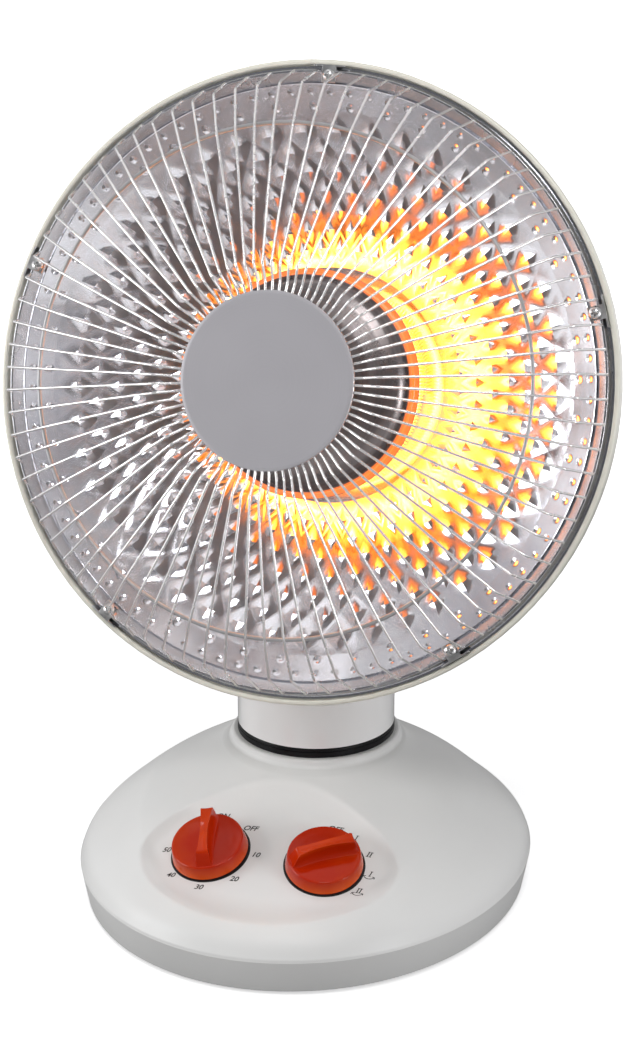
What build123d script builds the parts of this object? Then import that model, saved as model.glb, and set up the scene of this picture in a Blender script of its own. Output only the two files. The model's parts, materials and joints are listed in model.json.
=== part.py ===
from build123d import *
import os
from math import asin, atan2, cos, degrees, pi, radians, sin, sqrt, tan

# Dish-type room heater: an oval base with two dials, a short swinging neck, and a tilting head
# that holds a faceted reflector, a wound ceramic element and a wire guard.
# Millimetres, +Z up, front towards -Y. The origin is on the floor, under the middle of the base.

# Pose of the head as it stands
head_turn = -3.0
head_tilt = 18.0
swing_half_angle = 30.0

# Small clearances and overruns shared by the whole product
running_gap = 0.3
seat_gap = 0.1
shaft_fit = 0.05
cut_overrun = 2.0

# Base housing
base_half_width = 116.6
base_half_depth = 134.0
base_foot_inset = 3.4
crease_height = 13.5
skirt_lift = 2.0
collar_height = 77.1
collar_radius = 43.8
cover_wall = 2.5
cover_top_wall = 4.0
neck_back_share = 0.1455
dome_height_shares = [0.0, 0.10, 0.23, 0.355, 0.48, 0.605, 0.73, 0.857, 0.936, 1.0]
dome_spread_shares = [1.0, 0.99, 0.95, 0.835, 0.698, 0.537, 0.337, 0.135, 0.041, 0.0]
dome_shift_shares = [0.0, -0.05, -0.14, -0.11, 0.06, 0.267, 0.513, 0.754, 0.923, 1.0]
inner_height_shares = [0.0, 0.23, 0.48, 0.73, 1.0]
inner_spread_shares = [1.0, 0.95, 0.698, 0.337, 0.0]
inner_shift_shares = [0.0, -0.14, 0.06, 0.513, 1.0]

# Control recess in the front of the base, with its crowned floor
panel_ahead_share = 0.5784
panel_height = 48.0
panel_slope = 23.5
panel_crown_radius = 320.0
panel_half_width = 85.0
panel_half_height = 36.5
panel_rise = 3.0
panel_flare = 68.0
panel_reach = 26.0
panel_sink = 12.0

# Dials
dial_spacing = 58.8
dial_foot_radius = 19.6
dial_top_radius = 18.2
dial_height = 7.4
dial_gap = 0.8
dial_edge_round = 1.0
grip_tip = 17.4
grip_tail = 17.6
grip_waist = 5.0
grip_end_width = 8.0
grip_tail_slope = 4.2
grip_tail_rise = 7.0
grip_tip_slope = 2.2
grip_tip_rise = 8.0
grip_crown_rise = 8.6
dial_bore_depth = 9.0
timer_reading = -10.0
mode_reading = 60.0

# Dial shafts, timer and mode switch
shaft_radius = 3.0
shaft_hole_radius = 4.2
shaft_sink = 10.0
timer_width = 42.0
timer_depth = 34.0
timer_thick = 24.0
switch_width = 30.0
switch_depth = 30.0
switch_thick = 17.0
switch_bush_radius = 5.6
switch_bush_length = 3.0
tag_width = 4.8
tag_thick = 0.8
tag_length = 8.0

# Floor side of the base
plate_thick = 2.4
plate_gap = 0.5
foot_radius = 8.0
foot_height = 3.2
foot_nib_radius = 3.0
foot_nib_length = 1.8
foot_ring_share = 0.84
foot_angles = [35.0, 145.0, 215.0, 325.0]
boss_radius = 4.6
boss_hole_radius = 1.6
boss_ring_share = 0.87
boss_angles = [0.0, 62.0, 118.0, 180.0, 242.0, 298.0]
plate_screw_radius = 1.5
plate_screw_head_radius = 3.4
plate_screw_head_height = 1.3
plate_screw_length = 11.0
ballast_width_share = 0.669
ballast_depth_share = 0.6567
ballast_thick = 3.6

# Seal ring and swivel of the neck
seal_radius = 41.1
seal_inner_radius = 33.0
seal_height = 5.0
tube_radius = 11.0
tube_wall = 2.0
tube_top_share = 0.5225
bush_radius = 15.0
bush_flange_radius = 20.0
bush_flange_thick = 2.0
bush_length = 8.0
thrust_thick = 1.6
thrust_radius = 17.5
clip_thick = 1.2
clip_radius = 15.0
clip_mouth_angle = 70.0

# Drive of the swing: motor, crank and slotted arm
motor_back = 28.0
motor_radius = 25.0
motor_thick = 19.0
motor_top = 53.0
motor_shaft_radius = 3.0
motor_hub_radius = 5.0
motor_hub_height = 1.0
motor_ear_half_span = 27.0
motor_ear_radius = 5.0
motor_ear_thick = 1.2
bridge_thick = 1.5
bridge_half_span = 34.0
bridge_depth = 22.0
bridge_foot = 9.0
crank_rim = 2.0
crank_thick = 2.4
crank_lift = 1.2
crank_pin_radius = 2.4
crank_pin_length = 2.2
arm_thick = 2.4
arm_half_width = 5.2
arm_hub_radius = 15.0
slot_play = 0.3
slot_end_play = 1.2

# Tip-over switch and mains inlet
tip_switch_x = 66.0
tip_switch_y = 52.0
tip_body_width = 20.0
tip_body_depth = 13.0
tip_body_height = 17.0
plunger_radius = 3.6
plunger_length = 15.0
plunger_travel = 6.0
plunger_fit = 0.3
plunger_collar_radius = 4.8
plunger_collar_thick = 1.5
inlet_height = 12.0
inlet_bore_radius = 3.8
inlet_sleeve_radius = 6.4
inlet_flange_radius = 9.2
inlet_flange_thick = 2.0
inlet_tail = 7.0
terminal_width = 30.0
terminal_depth = 14.0
terminal_height = 12.0
terminal_gap = 1.0

# Neck column and tilt joint
neck_radius = 41.0
neck_wall = 3.0
neck_straight_share = 0.663
neck_crown_room = 8.0
neck_crown_half_width = 30.0
neck_crown_half_depth = 26.0
neck_crown_back = 8.0
pivot_back = 17.0
pivot_height = 136.5
cheek_inner = 16.0
cheek_thick = 7.0
cheek_radius = 11.5
bolt_radius = 4.0
bolt_fit = 0.06
bolt_head_radius = 7.0
bolt_head_thick = 4.0
nut_radius = 7.2
nut_thick = 5.0
friction_washer_radius = 10.0
friction_washer_thick = 1.0
lug_radius = 10.5
lug_root_depth = 34.0
lug_root_height = 46.0
lug_inset = 1.762
lug_drop = 17.272

# Rear shell, along the head's own axis
shell_radius = 160.0
shell_bead = 2.6
groove_width = 1.8
shell_front = 0.6
shell_band_depth = 16.0
shell_band_taper = 1.6
shell_back_depth = 86.0
shell_back_radius = 60.0
shell_belly_radius_share = 0.74
shell_belly_depth_share = 0.735
shell_wall = 1.5
shell_lip_width = 5.1
shell_lip_front = -3.8
slot_count = 16
slot_length = 24.0
slot_width = 4.0
slot_ring_radius = 92.0

# Rim band, clamps and screws, counted inwards from the groove beside the shell's bead
band_width = 7.7
band_crest_inset = 2.0
band_crest = 2.0
band_thick = 0.8
rim_screw_count = 5
rim_screw_inset = 4.0
rim_screw_radius = 1.4
rim_screw_head_radius = 3.0
rim_screw_head_height = 2.0
rim_screw_length = 9.0
clamp_tongue_width = 7.0
clamp_tongue_reach = 7.4
clamp_strip_length = 16.0
clamp_thick = 0.8

# Reflector dish
dish_depth = 58.2
dish_edge_drop = 1.04
dish_edge_play = 0.2
dimple_band = 12.8
dish_floor_radius = 60.1
dish_hole_radius = 20.0
facet_count = 45
facet_rows = 8
facet_relief = 1.7
flange_play = 0.8
sheet_thick = 0.8
dish_back_step = 2.4

# Wire guard
wire_count = 80
wire_radius = 0.85
wire_sides = 6
wire_start_radius = 38.0
wire_root_height = 55.6
wire_step_in_radius = 48.0
wire_step_out_radius = 56.0
wire_step_height = 59.6
wire_shoulder_inset = 28.6
wire_shoulder_height = 37.4
wire_kink_inset = 8.0
wire_kink_height = 26.4
wire_end_reach = 0.3
guard_ring_wire_radius = 1.0
root_ring_inner = 35.0
root_ring_outer = 43.0
root_ring_thick = 1.6
weld_sink = 0.3
disc_radius = 43.3
disc_thick = 1.2
disc_edge_round = 0.5
disc_back_radius = 40.0
disc_back_thick = 1.0
rivet_radius = 1.8
rivet_ring = 24.0
rivet_count = 3

# Heating element, along the head's own axis
core_radius = 48.6
core_front = -11.0
core_length = 32.0
core_bore = 24.0
core_shoulder_radius = 46.0
core_shoulder = 6.0
coil_wire_radius = 2.1
coil_wire_sides = 6
coil_seat = 0.5
coil_turns = 5
coil_pitch = 5.8
coil_start = -41.0
cap_radius = 55.0
cap_rim = 9.0
cap_thick = 1.0
cap_shoulder_radius = 34.0
cap_shoulder_rise = 8.0
cap_crown_rise = 10.5
stud_radius = 3.0
stud_fit = 0.08
cap_nut_radius = 6.0
cap_nut_thick = 5.0
holder_radius = 26.0
holder_thick = 7.0
strap_length = 104.0
strap_width = 20.0
strap_thick = 1.5
stud_tail = 16.0
stud_reach = 1.0
lock_nut_radius = 5.5
lock_nut_thick = 3.0
cutout_radius = 8.0
cutout_height = 7.0
cutout_flange_thick = 1.0
cutout_offset = 40.0
post_radius = 3.0
post_length = 8.0
post_ring = 17.0


# Frames of the moving groups

def neck_back():
    return base_half_depth * neck_back_share


def neck_frame():
    return Location((0, neck_back(), 0), (0, 0, head_turn))


def belly_radius():
    return shell_radius * shell_belly_radius_share


def belly_depth():
    return shell_back_depth * shell_belly_depth_share


def head_frame():
    """Rim plane of the head, hung from the tilt axis by the lug's place behind the bowl's belly."""
    face = Plane(origin=(0, pivot_back, pivot_height), x_dir=(1, 0, 0),
                 z_dir=(0, -cos(radians(head_tilt)), sin(radians(head_tilt))))
    rim = Location((0, belly_radius() - lug_inset, belly_depth() + lug_drop))
    return neck_frame() * face.location * rim


def panel_frame():
    ahead = base_half_depth * panel_ahead_share
    face = Plane(origin=(0, -ahead, panel_height), x_dir=(1, 0, 0),
                 z_dir=(0, -sin(radians(panel_slope)), cos(radians(panel_slope))))
    return face.location


def dial_frame(side):
    """Place of one dial on the crowned floor, with its own axis along local Z."""
    splay = degrees(asin(dial_spacing / 2 / panel_crown_radius))
    sink = panel_crown_radius * (1 - cos(radians(splay)))
    return panel_frame() * Location((side * dial_spacing / 2, 0, -sink), (0, side * splay, 0))


# General shapes

def cylinder(radius, bottom, top):
    return Pos(0, 0, bottom) * extrude(Circle(radius), top - bottom)


def ring(outer, inner, bottom, top):
    return Pos(0, 0, bottom) * extrude(Circle(outer) - Circle(inner), top - bottom)


def block(width, depth, bottom, top):
    return Pos(0, 0, bottom) * extrude(Rectangle(width, depth), top - bottom)


def turned(points):
    """Solid of revolution about Z of a closed outline of (radius, height) points."""
    outline = Polyline([(r, 0, h) for r, h in points], close=True)
    return revolve(make_face(outline), Axis.Z, 360)


def oval(half_width, half_depth, middle, height):
    return Pos(0, middle, height) * Ellipse(half_width, half_depth)


def around(count, first=0.0):
    return [first + 360.0 * k / count for k in range(count)]


def polar(radius, angle):
    return radius * cos(radians(angle)), radius * sin(radians(angle))


def solids(shapes):
    """Group of separate solids written as one node."""
    return Compound([one for shape in shapes for one in shape.solids()])


def hexagon_nut(radius, bore, bottom, top):
    return Pos(0, 0, bottom) * extrude(RegularPolygon(radius, 6) - Circle(bore), top - bottom)


# Base

def dome(shrink, drop, height_shares, spread_shares, shift_shares, smooth):
    """Oval dome from the crease to the collar, drawn in by shrink and lowered by drop."""
    sections = []
    rise = collar_height - drop - crease_height
    for height, spread, shift in zip(height_shares, spread_shares, shift_shares):
        half_width = collar_radius + spread * (base_half_width - collar_radius) - shrink
        half_depth = collar_radius + spread * (base_half_depth - collar_radius) - shrink
        sections.append(oval(half_width, half_depth, shift * neck_back(), crease_height + height * rise))
    return loft(sections, ruled=not smooth)


def skirt(shrink, bottom):
    inset = base_foot_inset + shrink
    foot = oval(base_half_width - inset, base_half_depth - inset, 0, bottom)
    crease = oval(base_half_width - shrink, base_half_depth - shrink, 0, crease_height)
    return loft([foot, crease], ruled=True)


def outer_dome():
    return skirt(0, skirt_lift) \
        + dome(0, 0, dome_height_shares, dome_spread_shares, dome_shift_shares, True)


def recess(grow):
    """Space above the crowned floor of the control recess, grown all round by a wall."""
    widen = tan(radians(panel_flare))
    outset = grow / cos(radians(panel_flare))
    flat = []
    for height in (-panel_sink, panel_reach):
        spread = outset + widen * height
        flat.append(oval(panel_half_width + spread, panel_half_height + spread, panel_rise, height))
    space = loft(flat, ruled=True)
    crown = Pos(0, 0, -panel_crown_radius - grow) * Rot(90, 0, 0) * Pos(0, 0, -base_half_depth) \
        * extrude(Circle(panel_crown_radius), 2 * base_half_depth)
    return panel_frame() * (space - crown)


def oval_places(ring_share, angles):
    """Points on an oval that is a share of the base's outline."""
    half_width = base_half_width * ring_share
    half_depth = base_half_depth * ring_share
    return [(half_width * cos(radians(a)), half_depth * sin(radians(a))) for a in angles]


def boss_places():
    return oval_places(boss_ring_share, boss_angles)


def foot_places():
    return oval_places(foot_ring_share, foot_angles)


def plate_top():
    return foot_height + plate_thick


def base_cover():
    """Moulded shell with its recess, the screw bosses and the holes for shafts, swivel and inlet."""
    outside = outer_dome() - recess(0)
    hollow = skirt(cover_wall, skirt_lift - cut_overrun)
    hollow += dome(cover_wall, cover_top_wall, inner_height_shares, inner_spread_shares, inner_shift_shares,
                   False)
    hollow -= recess(cover_wall)
    bosses = [Pos(x, y, 0) * cylinder(boss_radius, plate_top(), collar_height) for x, y in boss_places()]
    for boss in bosses:
        hollow -= boss
    cover = outside - hollow
    holes = [Pos(x, y, 0) * cylinder(boss_hole_radius, 0, crease_height) for x, y in boss_places()]
    bush_hole = cylinder(bush_radius + seat_gap, crease_height, collar_height + cut_overrun)
    holes.append(Pos(0, neck_back(), 0) * bush_hole)
    for side in (-1, 1):
        holes.append(dial_frame(side) * cylinder(shaft_hole_radius, -cover_wall - cut_overrun, cut_overrun))
    inlet_hole = cylinder(inlet_sleeve_radius + seat_gap, -inlet_tail, cut_overrun + cover_wall)
    holes.append(inlet_frame() * inlet_hole)
    return cover - holes


def base_plate():
    inset = base_foot_inset + cover_wall + plate_gap
    outline = Ellipse(base_half_width - inset, base_half_depth - inset)
    plate = Pos(0, 0, foot_height) * extrude(outline, plate_thick)
    screw_hole = cylinder(plate_screw_radius + seat_gap, 0, collar_height)
    nib_hole = cylinder(foot_nib_radius, 0, collar_height)
    plunger_hole = cylinder(plunger_radius + plunger_fit, 0, collar_height)
    holes = [Pos(x, y, 0) * screw_hole for x, y in boss_places()]
    holes += [Pos(x, y, 0) * nib_hole for x, y in foot_places()]
    holes.append(Pos(tip_switch_x, tip_switch_y, 0) * plunger_hole)
    return plate - holes


def rubber_feet():
    foot = cylinder(foot_radius, 0, foot_height) \
        + cylinder(foot_nib_radius - seat_gap, foot_height, foot_height + foot_nib_length)
    return solids([Pos(x, y, 0) * foot for x, y in foot_places()])


def plate_screws():
    head_bottom = foot_height - plate_screw_head_height
    screw = cylinder(plate_screw_head_radius, head_bottom, foot_height) \
        + cylinder(plate_screw_radius, foot_height, head_bottom + plate_screw_length)
    return solids([Pos(x, y, 0) * screw for x, y in boss_places()])


def ballast_half_depth():
    return base_half_depth * ballast_depth_share


def ballast_plate():
    outline = Ellipse(base_half_width * ballast_width_share, ballast_half_depth())
    plate = Pos(0, 0, plate_top()) * extrude(outline, ballast_thick)
    well = block(tip_body_width + cut_overrun, tip_body_depth + cut_overrun, 0, collar_height)
    return plate - Pos(tip_switch_x, tip_switch_y, 0) * well


def seal_ring():
    body = ring(seal_radius, seal_inner_radius, collar_height, collar_height + seal_height)
    body = chamfer(body.edges().filter_by(GeomType.CIRCLE).group_by(SortBy.RADIUS)[-1], seal_height / 6)
    return Pos(0, neck_back(), 0) * body


def neck_bush():
    top = collar_height
    sleeve = ring(bush_radius, tube_radius + shaft_fit, top - bush_length, top)
    flange = ring(bush_flange_radius, tube_radius + shaft_fit, top, top + bush_flange_thick)
    return Pos(0, neck_back(), 0) * (sleeve + flange)


# Drive of the swing

def motor_frame():
    return Location((0, neck_back() + motor_back, 0))


def swing_motor():
    body = cylinder(motor_radius, motor_top - motor_thick, motor_top)
    body += cylinder(motor_hub_radius, motor_top, motor_top + motor_hub_height)
    for side in (-1, 1):
        ear = Pos(side * motor_ear_half_span, 0) * Circle(motor_ear_radius) \
            + Pos(side * motor_ear_half_span / 2, 0) * Rectangle(motor_ear_half_span, motor_ear_radius * 2)
        body += Pos(0, 0, motor_top - motor_ear_thick) * extrude(ear, motor_ear_thick)
    return motor_frame() * body


def bridge_top():
    return motor_top + bridge_thick


def motor_bridge():
    """Folded strip over the motor that carries it from the base plate."""
    span = Pos(0, 0, motor_top) * extrude(Rectangle(2 * bridge_half_span, bridge_depth), bridge_thick)
    bottom = plate_top() + ballast_thick
    leg = block(bridge_thick, bridge_depth, bottom, motor_top)
    foot = block(bridge_foot, bridge_depth, bottom, bottom + bridge_thick)
    for side in (-1, 1):
        span += Pos(side * (bridge_half_span - bridge_thick / 2), 0) * leg
        span += Pos(side * (bridge_half_span + bridge_foot / 2), 0) * foot
    span -= cylinder(motor_hub_radius + seat_gap, 0, collar_height)
    return motor_frame() * span


def crank_bottom():
    return bridge_top() + crank_lift


def crank_throw():
    """Throw that swings the slotted arm to half its sweep on each side."""
    return motor_back * sin(radians(swing_half_angle))


def crank_turn():
    """Angle of the crank that puts its pin in the arm's slot at the neck's angle."""
    return head_turn + degrees(asin(sin(radians(head_turn)) / sin(radians(swing_half_angle))))


def pin_top():
    return crank_bottom() + crank_thick + crank_pin_length


def crank_disc():
    bottom = crank_bottom()
    disc = cylinder(crank_throw() + crank_pin_radius + crank_rim, bottom, bottom + crank_thick)
    disc += cylinder(motor_shaft_radius, motor_top + motor_hub_height + running_gap, bottom)
    disc += Pos(0, crank_throw(), 0) * cylinder(crank_pin_radius, bottom + crank_thick, pin_top())
    return motor_frame() * Rot(0, 0, crank_turn()) * disc


def arm_bottom():
    return pin_top() + running_gap


def drive_arm():
    """Lever on the neck tube's lower end, with the slot that the crank's pin runs along."""
    nearest = sqrt(motor_back ** 2 - crank_throw() ** 2)
    farthest = motor_back + crank_throw()
    half_slot = crank_pin_radius + slot_play
    tip = farthest + slot_end_play
    blade = Circle(arm_hub_radius) + Pos(0, tip / 2) * Rectangle(2 * arm_half_width, tip)
    blade += Pos(0, tip) * Circle(arm_half_width)
    slot_run = farthest - nearest + 2 * slot_end_play
    slot = Pos(0, (nearest + farthest) / 2) * Rot(0, 0, 90) * SlotCenterToCenter(slot_run, 2 * half_slot)
    blade -= Circle(tube_radius + seat_gap) + slot
    return neck_frame() * Pos(0, 0, arm_bottom()) * extrude(blade, arm_thick)


# Neck

def neck_tube():
    tube = ring(tube_radius, tube_radius - tube_wall, arm_bottom(), neck_level(tube_top_share))
    return neck_frame() * tube


def thrust_top():
    return collar_height - bush_length - running_gap


def thrust_washer():
    body = ring(thrust_radius, tube_radius + seat_gap, thrust_top() - thrust_thick, thrust_top())
    return neck_frame() * body


def retaining_clip():
    top = thrust_top() - thrust_thick
    body = ring(clip_radius, tube_radius + seat_gap, top - clip_thick, top)
    mouth = block(2 * clip_radius * sin(radians(clip_mouth_angle / 2)), 2 * clip_radius, 0, collar_height)
    return neck_frame() * (body - Pos(0, -clip_radius, 0) * mouth)


def neck_bottom():
    return collar_height + seal_height + running_gap


def neck_crown_height():
    """Top of the column, a named room below the lug that turns over it."""
    return pivot_height - lug_radius - neck_crown_room


def neck_level(share):
    """Height at a share of the column, counted from its bottom."""
    return neck_bottom() + share * (neck_crown_height() - neck_bottom())


def neck_outline(shrink, bottom, drop):
    shoulder = neck_level(neck_straight_share)
    column = cylinder(neck_radius - shrink, bottom, shoulder)
    crown = loft([Pos(0, 0, shoulder) * Ellipse(neck_radius - shrink, neck_radius - shrink),
                  Pos(0, neck_crown_back, neck_crown_height() - drop)
                  * Ellipse(neck_crown_half_width - shrink, neck_crown_half_depth - shrink)], ruled=True)
    return column + crown


def neck_column():
    """Hollow column with two cheeks at its back that hold the tilt bolt."""
    body = neck_outline(0, neck_bottom(), 0)
    drop = pivot_height - neck_level(neck_straight_share)
    cheek = Circle(cheek_radius) + Pos(0, -drop / 2) * Rectangle(2 * cheek_radius, drop)
    plate = Rot(0, 0, 90) * Rot(90, 0, 0) * extrude(cheek, cheek_thick)
    for side in (-1, 1):
        inner = side * (cheek_inner + cheek_thick / 2) - cheek_thick / 2
        body += Pos(inner, pivot_back, pivot_height) * plate
    hollow = neck_outline(neck_wall, neck_bottom() - cut_overrun, neck_wall)
    hollow -= cylinder(tube_radius + neck_wall, neck_bottom() - cut_overrun, neck_crown_height())
    body -= hollow
    body -= cylinder(tube_radius + seat_gap, 0, neck_level(tube_top_share) + seat_gap)
    bolt_hole = Pos(-neck_radius, pivot_back, pivot_height) * Rot(0, 90, 0) \
        * cylinder(bolt_radius + bolt_fit, 0, 2 * neck_radius)
    return neck_frame() * (body - bolt_hole)


def pivot_frame():
    """Tilt axis along local Z, towards +X."""
    return neck_frame() * Location((0, pivot_back, pivot_height), (0, 90, 0))


def cheek_outer():
    return cheek_inner + cheek_thick


def tilt_bolt():
    end = cheek_outer() + nut_thick + cut_overrun
    shank = cylinder(bolt_radius, -cheek_outer(), end)
    head = cylinder(bolt_head_radius, -cheek_outer() - bolt_head_thick, -cheek_outer())
    return pivot_frame() * (shank + head)


def tilt_nut():
    outer = cheek_outer()
    return pivot_frame() * hexagon_nut(nut_radius, bolt_radius + shaft_fit, outer, outer + nut_thick)


def friction_washers():
    washer = ring(friction_washer_radius, bolt_radius + bolt_fit, -friction_washer_thick / 2,
                  friction_washer_thick / 2)
    middle = cheek_inner - friction_washer_thick / 2
    return solids([pivot_frame() * Pos(0, 0, side * middle) * washer for side in (-1, 1)])


def lug_half_width():
    return cheek_inner - friction_washer_thick - seat_gap


def shell_solid(shrink):
    """Filled bowl of the rear shell, drawn in by a wall."""
    side = shell_radius - shrink
    back = shrink - shell_back_depth
    band_end = (side - shell_band_taper, shell_front - shell_band_depth)
    belly = (belly_radius() - shrink, shrink - belly_depth())
    back_edge = (shell_back_radius - shrink, back)
    with BuildPart() as bowl:
        with BuildSketch(Plane.XZ):
            with BuildLine():
                Polyline((0, shell_front), (side, shell_front), band_end)
                ThreePointArc(band_end, belly, back_edge)
                Polyline(back_edge, (0, back), (0, shell_front))
            make_face()
        revolve(axis=Axis.Z)
    return bowl.part


def tilt_lug():
    """Bracket under the shell that turns on the tilt bolt."""
    half = lug_half_width()
    root = Polyline((-lug_radius, 0), (lug_radius, 0), (lug_root_depth / 2, lug_root_height),
                    (-lug_root_depth / 2, lug_root_height), close=True)
    outline = Circle(lug_radius) + make_face(root)
    arm = Pos(-half, pivot_back, pivot_height) * Rot(0, 0, 90) * Rot(90, 0, 0) * extrude(outline, 2 * half)
    bore = cylinder(bolt_radius + bolt_fit, -half - cut_overrun, half + cut_overrun)
    body = neck_frame() * arm - pivot_frame() * bore
    return body - head_frame() * shell_solid(0)


# Head: shell, reflector, rim

def rear_shell():
    """Bowl with a rolled bead, a lip for the reflector's flange and a ring of vent slots."""
    shell = shell_solid(0) - shell_solid(shell_wall)
    inside = shell_radius - shell_wall / 2
    lip = band_outer_radius() - shell_lip_width
    shell += ring(inside, lip, shell_lip_front - shell_wall, shell_lip_front)
    shell += ring(inside, shell_radius - shell_bead, shell_lip_front, shell_front)
    slot = Pos(slot_ring_radius, 0, 0) \
        * block(slot_length, slot_width, -shell_back_depth - cut_overrun, -shell_back_depth / 2)
    slots = [Rot(0, 0, a) * slot for a in around(slot_count, 360.0 / slot_count / 2)]
    holes = rim_screw_holes(shell_lip_front - cut_overrun - shell_wall, 0)
    return head_frame() * (shell - slots - holes)


def band_outer_radius():
    return shell_radius - shell_bead - groove_width


def band_inner_radius():
    return band_outer_radius() - band_width


def band_crest_radius():
    return band_outer_radius() - band_crest_inset


def rim_screw_ring():
    return band_outer_radius() - rim_screw_inset


def dish_edge_radius():
    return band_inner_radius() - dish_edge_play


def flange_radius():
    return shell_radius - shell_bead - flange_play


def facet_radius(row):
    outer = dish_edge_radius() - dimple_band
    return outer - row * (outer - dish_floor_radius) / facet_rows


def rim_screw_angles():
    return around(rim_screw_count, 90.0)


def rim_screw_holes(bottom, top):
    hole = Pos(rim_screw_ring(), 0, 0) * cylinder(rim_screw_radius + seat_gap, bottom, top)
    return [Rot(0, 0, a) * hole for a in rim_screw_angles()]


def dish_height(radius):
    return -dish_depth + (dish_depth - dish_edge_drop) * (radius / dish_edge_radius()) ** 2


def dish_ring(radius, lift):
    """Corners of one ring of the dish, two to a facet."""
    return flat_ring(radius, dish_height(radius) + lift)


def facet_ring(row):
    """Corners of one facet row: pyramid tips and the corners between them take turns."""
    radius = facet_radius(row)
    corners = dish_ring(radius, 0)
    if 0 < row < facet_rows:
        lift = facet_relief * radius / facet_radius(0)
        for k in range(2 * facet_count):
            if (k + row) % 2 == 1:
                x, y, h = corners[k]
                corners[k] = (x, y, h + lift)
    return corners


def quad_band(outer, inner):
    """Flat four-sided faces between two rings of corners."""
    count = len(outer)
    return [[outer[k], outer[(k + 1) % count], inner[(k + 1) % count], inner[k]] for k in range(count)]


def facet_band(outer, inner, row):
    """Two triangles in each cell, split along the edge that two pyramids share."""
    count = len(outer)
    cells = []
    for k in range(count):
        m = (k + 1) % count
        if (k + row) % 2 == 0:
            cells += [[outer[k], outer[m], inner[m]], [outer[k], inner[m], inner[k]]]
        else:
            cells += [[outer[k], outer[m], inner[k]], [outer[m], inner[m], inner[k]]]
    return cells


def flat_ring(radius, height):
    step = 180.0 / facet_count
    return [(*polar(radius, 90.0 + k * step), height) for k in range(2 * facet_count)]


def dish_front():
    """Faces seen from the front: flange, edge band, rows of facets and floor."""
    edge = dish_edge_radius()
    rows = [facet_ring(row) for row in range(facet_rows + 1)]
    middle = dish_ring((facet_radius(0) + edge) / 2, 0)
    hole = flat_ring(dish_hole_radius, dish_height(dish_floor_radius))
    flange = [flat_ring(flange_radius(), band_foot()), flat_ring(edge, band_foot())]
    bands = flange + [dish_ring(edge, 0), middle]
    faces = []
    for outer, inner in zip(bands, bands[1:] + rows[:1]):
        faces += quad_band(outer, inner)
    for row in range(facet_rows):
        faces += facet_band(rows[row], rows[row + 1], row)
    return faces + quad_band(rows[facet_rows], hole)


def dish_back():
    """Plainer faces behind the facets, one sheet step further back."""
    radii = [facet_radius(row) for row in range(0, facet_rows + 1, facet_rows // 2)]
    rings = [flat_ring(flange_radius(), shell_lip_front)]
    rings.append(flat_ring(dish_edge_radius() - sheet_thick, shell_lip_front))
    rings += [dish_ring(radius, -dish_back_step) for radius in radii]
    rings.append(flat_ring(dish_hole_radius, dish_height(dish_floor_radius) - dish_back_step))
    faces = []
    for outer, inner in zip(rings[:-1], rings[1:]):
        faces += [face[::-1] for face in quad_band(outer, inner)]
    return faces


def reflector():
    """Pressed dish with rows of pyramids, closed from flat faces."""
    floor = dish_height(dish_floor_radius)
    hole = dish_hole_radius
    edges = quad_band(flat_ring(flange_radius(), shell_lip_front), flat_ring(flange_radius(), band_foot()))
    edges += quad_band(flat_ring(hole, floor), flat_ring(hole, floor - dish_back_step))
    corners = dish_front() + dish_back() + edges
    faces = [Face(Wire.make_polygon([Vector(*corner) for corner in face])) for face in corners]
    dish = Solid(Shell(faces))
    holes = rim_screw_holes(shell_lip_front - cut_overrun, shell_front)
    return head_frame() * (Part(dish.wrapped) - holes)


def band_foot():
    return shell_lip_front + sheet_thick


def rim_band():
    """Pressed ring over the reflector's flange, with a crest that the guard's wires stand on."""
    foot = band_foot()
    inner = band_inner_radius()
    outer = band_outer_radius()
    crest = band_crest_radius()
    outline = [(inner, foot), (inner + band_thick, foot), (crest, band_crest - band_thick),
               (outer - band_thick, foot), (outer, foot), (crest + band_thick / 2, band_crest),
               (crest - band_thick / 2, band_crest), (inner, foot + band_thick)]
    return head_frame() * (turned(outline) - rim_screw_holes(foot - cut_overrun, band_crest))


def rim_clamps():
    """Small plates under the rim screws that hold the band's crest."""
    bottom = band_crest + seat_gap
    groove_middle = band_outer_radius() + groove_width / 2
    inner = band_outer_radius() - clamp_tongue_reach
    reach = groove_middle + clamp_thick / 2 - inner
    top = bottom + clamp_thick
    tongue = Pos(inner + reach / 2, 0, 0) * block(reach, clamp_tongue_width, bottom, top)
    strip = Pos(groove_middle, 0, 0) * block(clamp_thick, clamp_strip_length, band_foot() + seat_gap, top)
    hole = Pos(rim_screw_ring(), 0, 0) * cylinder(rim_screw_radius + seat_gap, 0, bottom + cut_overrun)
    clamp = tongue + strip - hole
    return head_frame() * solids([Rot(0, 0, a) * clamp for a in rim_screw_angles()])


def rim_screws():
    seat = band_crest + seat_gap + clamp_thick
    screw = cylinder(rim_screw_radius, seat - rim_screw_length, seat)
    dome_head = cylinder(rim_screw_head_radius, seat, seat + rim_screw_head_height)
    screw = Pos(rim_screw_ring(), 0, 0) * (screw + dome_head)
    return head_frame() * solids([Rot(0, 0, a) * screw for a in rim_screw_angles()])


# Wire guard

def shoulder_radius():
    return band_crest_radius() - wire_shoulder_inset


def guard_wire():
    """One bent wire with a many-sided section, from the root ring to the rim band's crest."""
    line = [(wire_start_radius, wire_root_height), (wire_step_in_radius, wire_root_height),
            (wire_step_out_radius, wire_step_height), (shoulder_radius(), wire_shoulder_height),
            (band_crest_radius() - wire_kink_inset, wire_kink_height),
            (band_crest_radius() + wire_end_reach, band_crest + seat_gap + wire_radius / 2)]
    path = Polyline([(r, 0, h) for r, h in line])
    start = Plane(origin=path @ 0, x_dir=(0, 0, 1), z_dir=path % 0)
    section = start * RegularPolygon(wire_radius, wire_sides)
    return sweep(section, path=path, transition=Transition.RIGHT)


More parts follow.
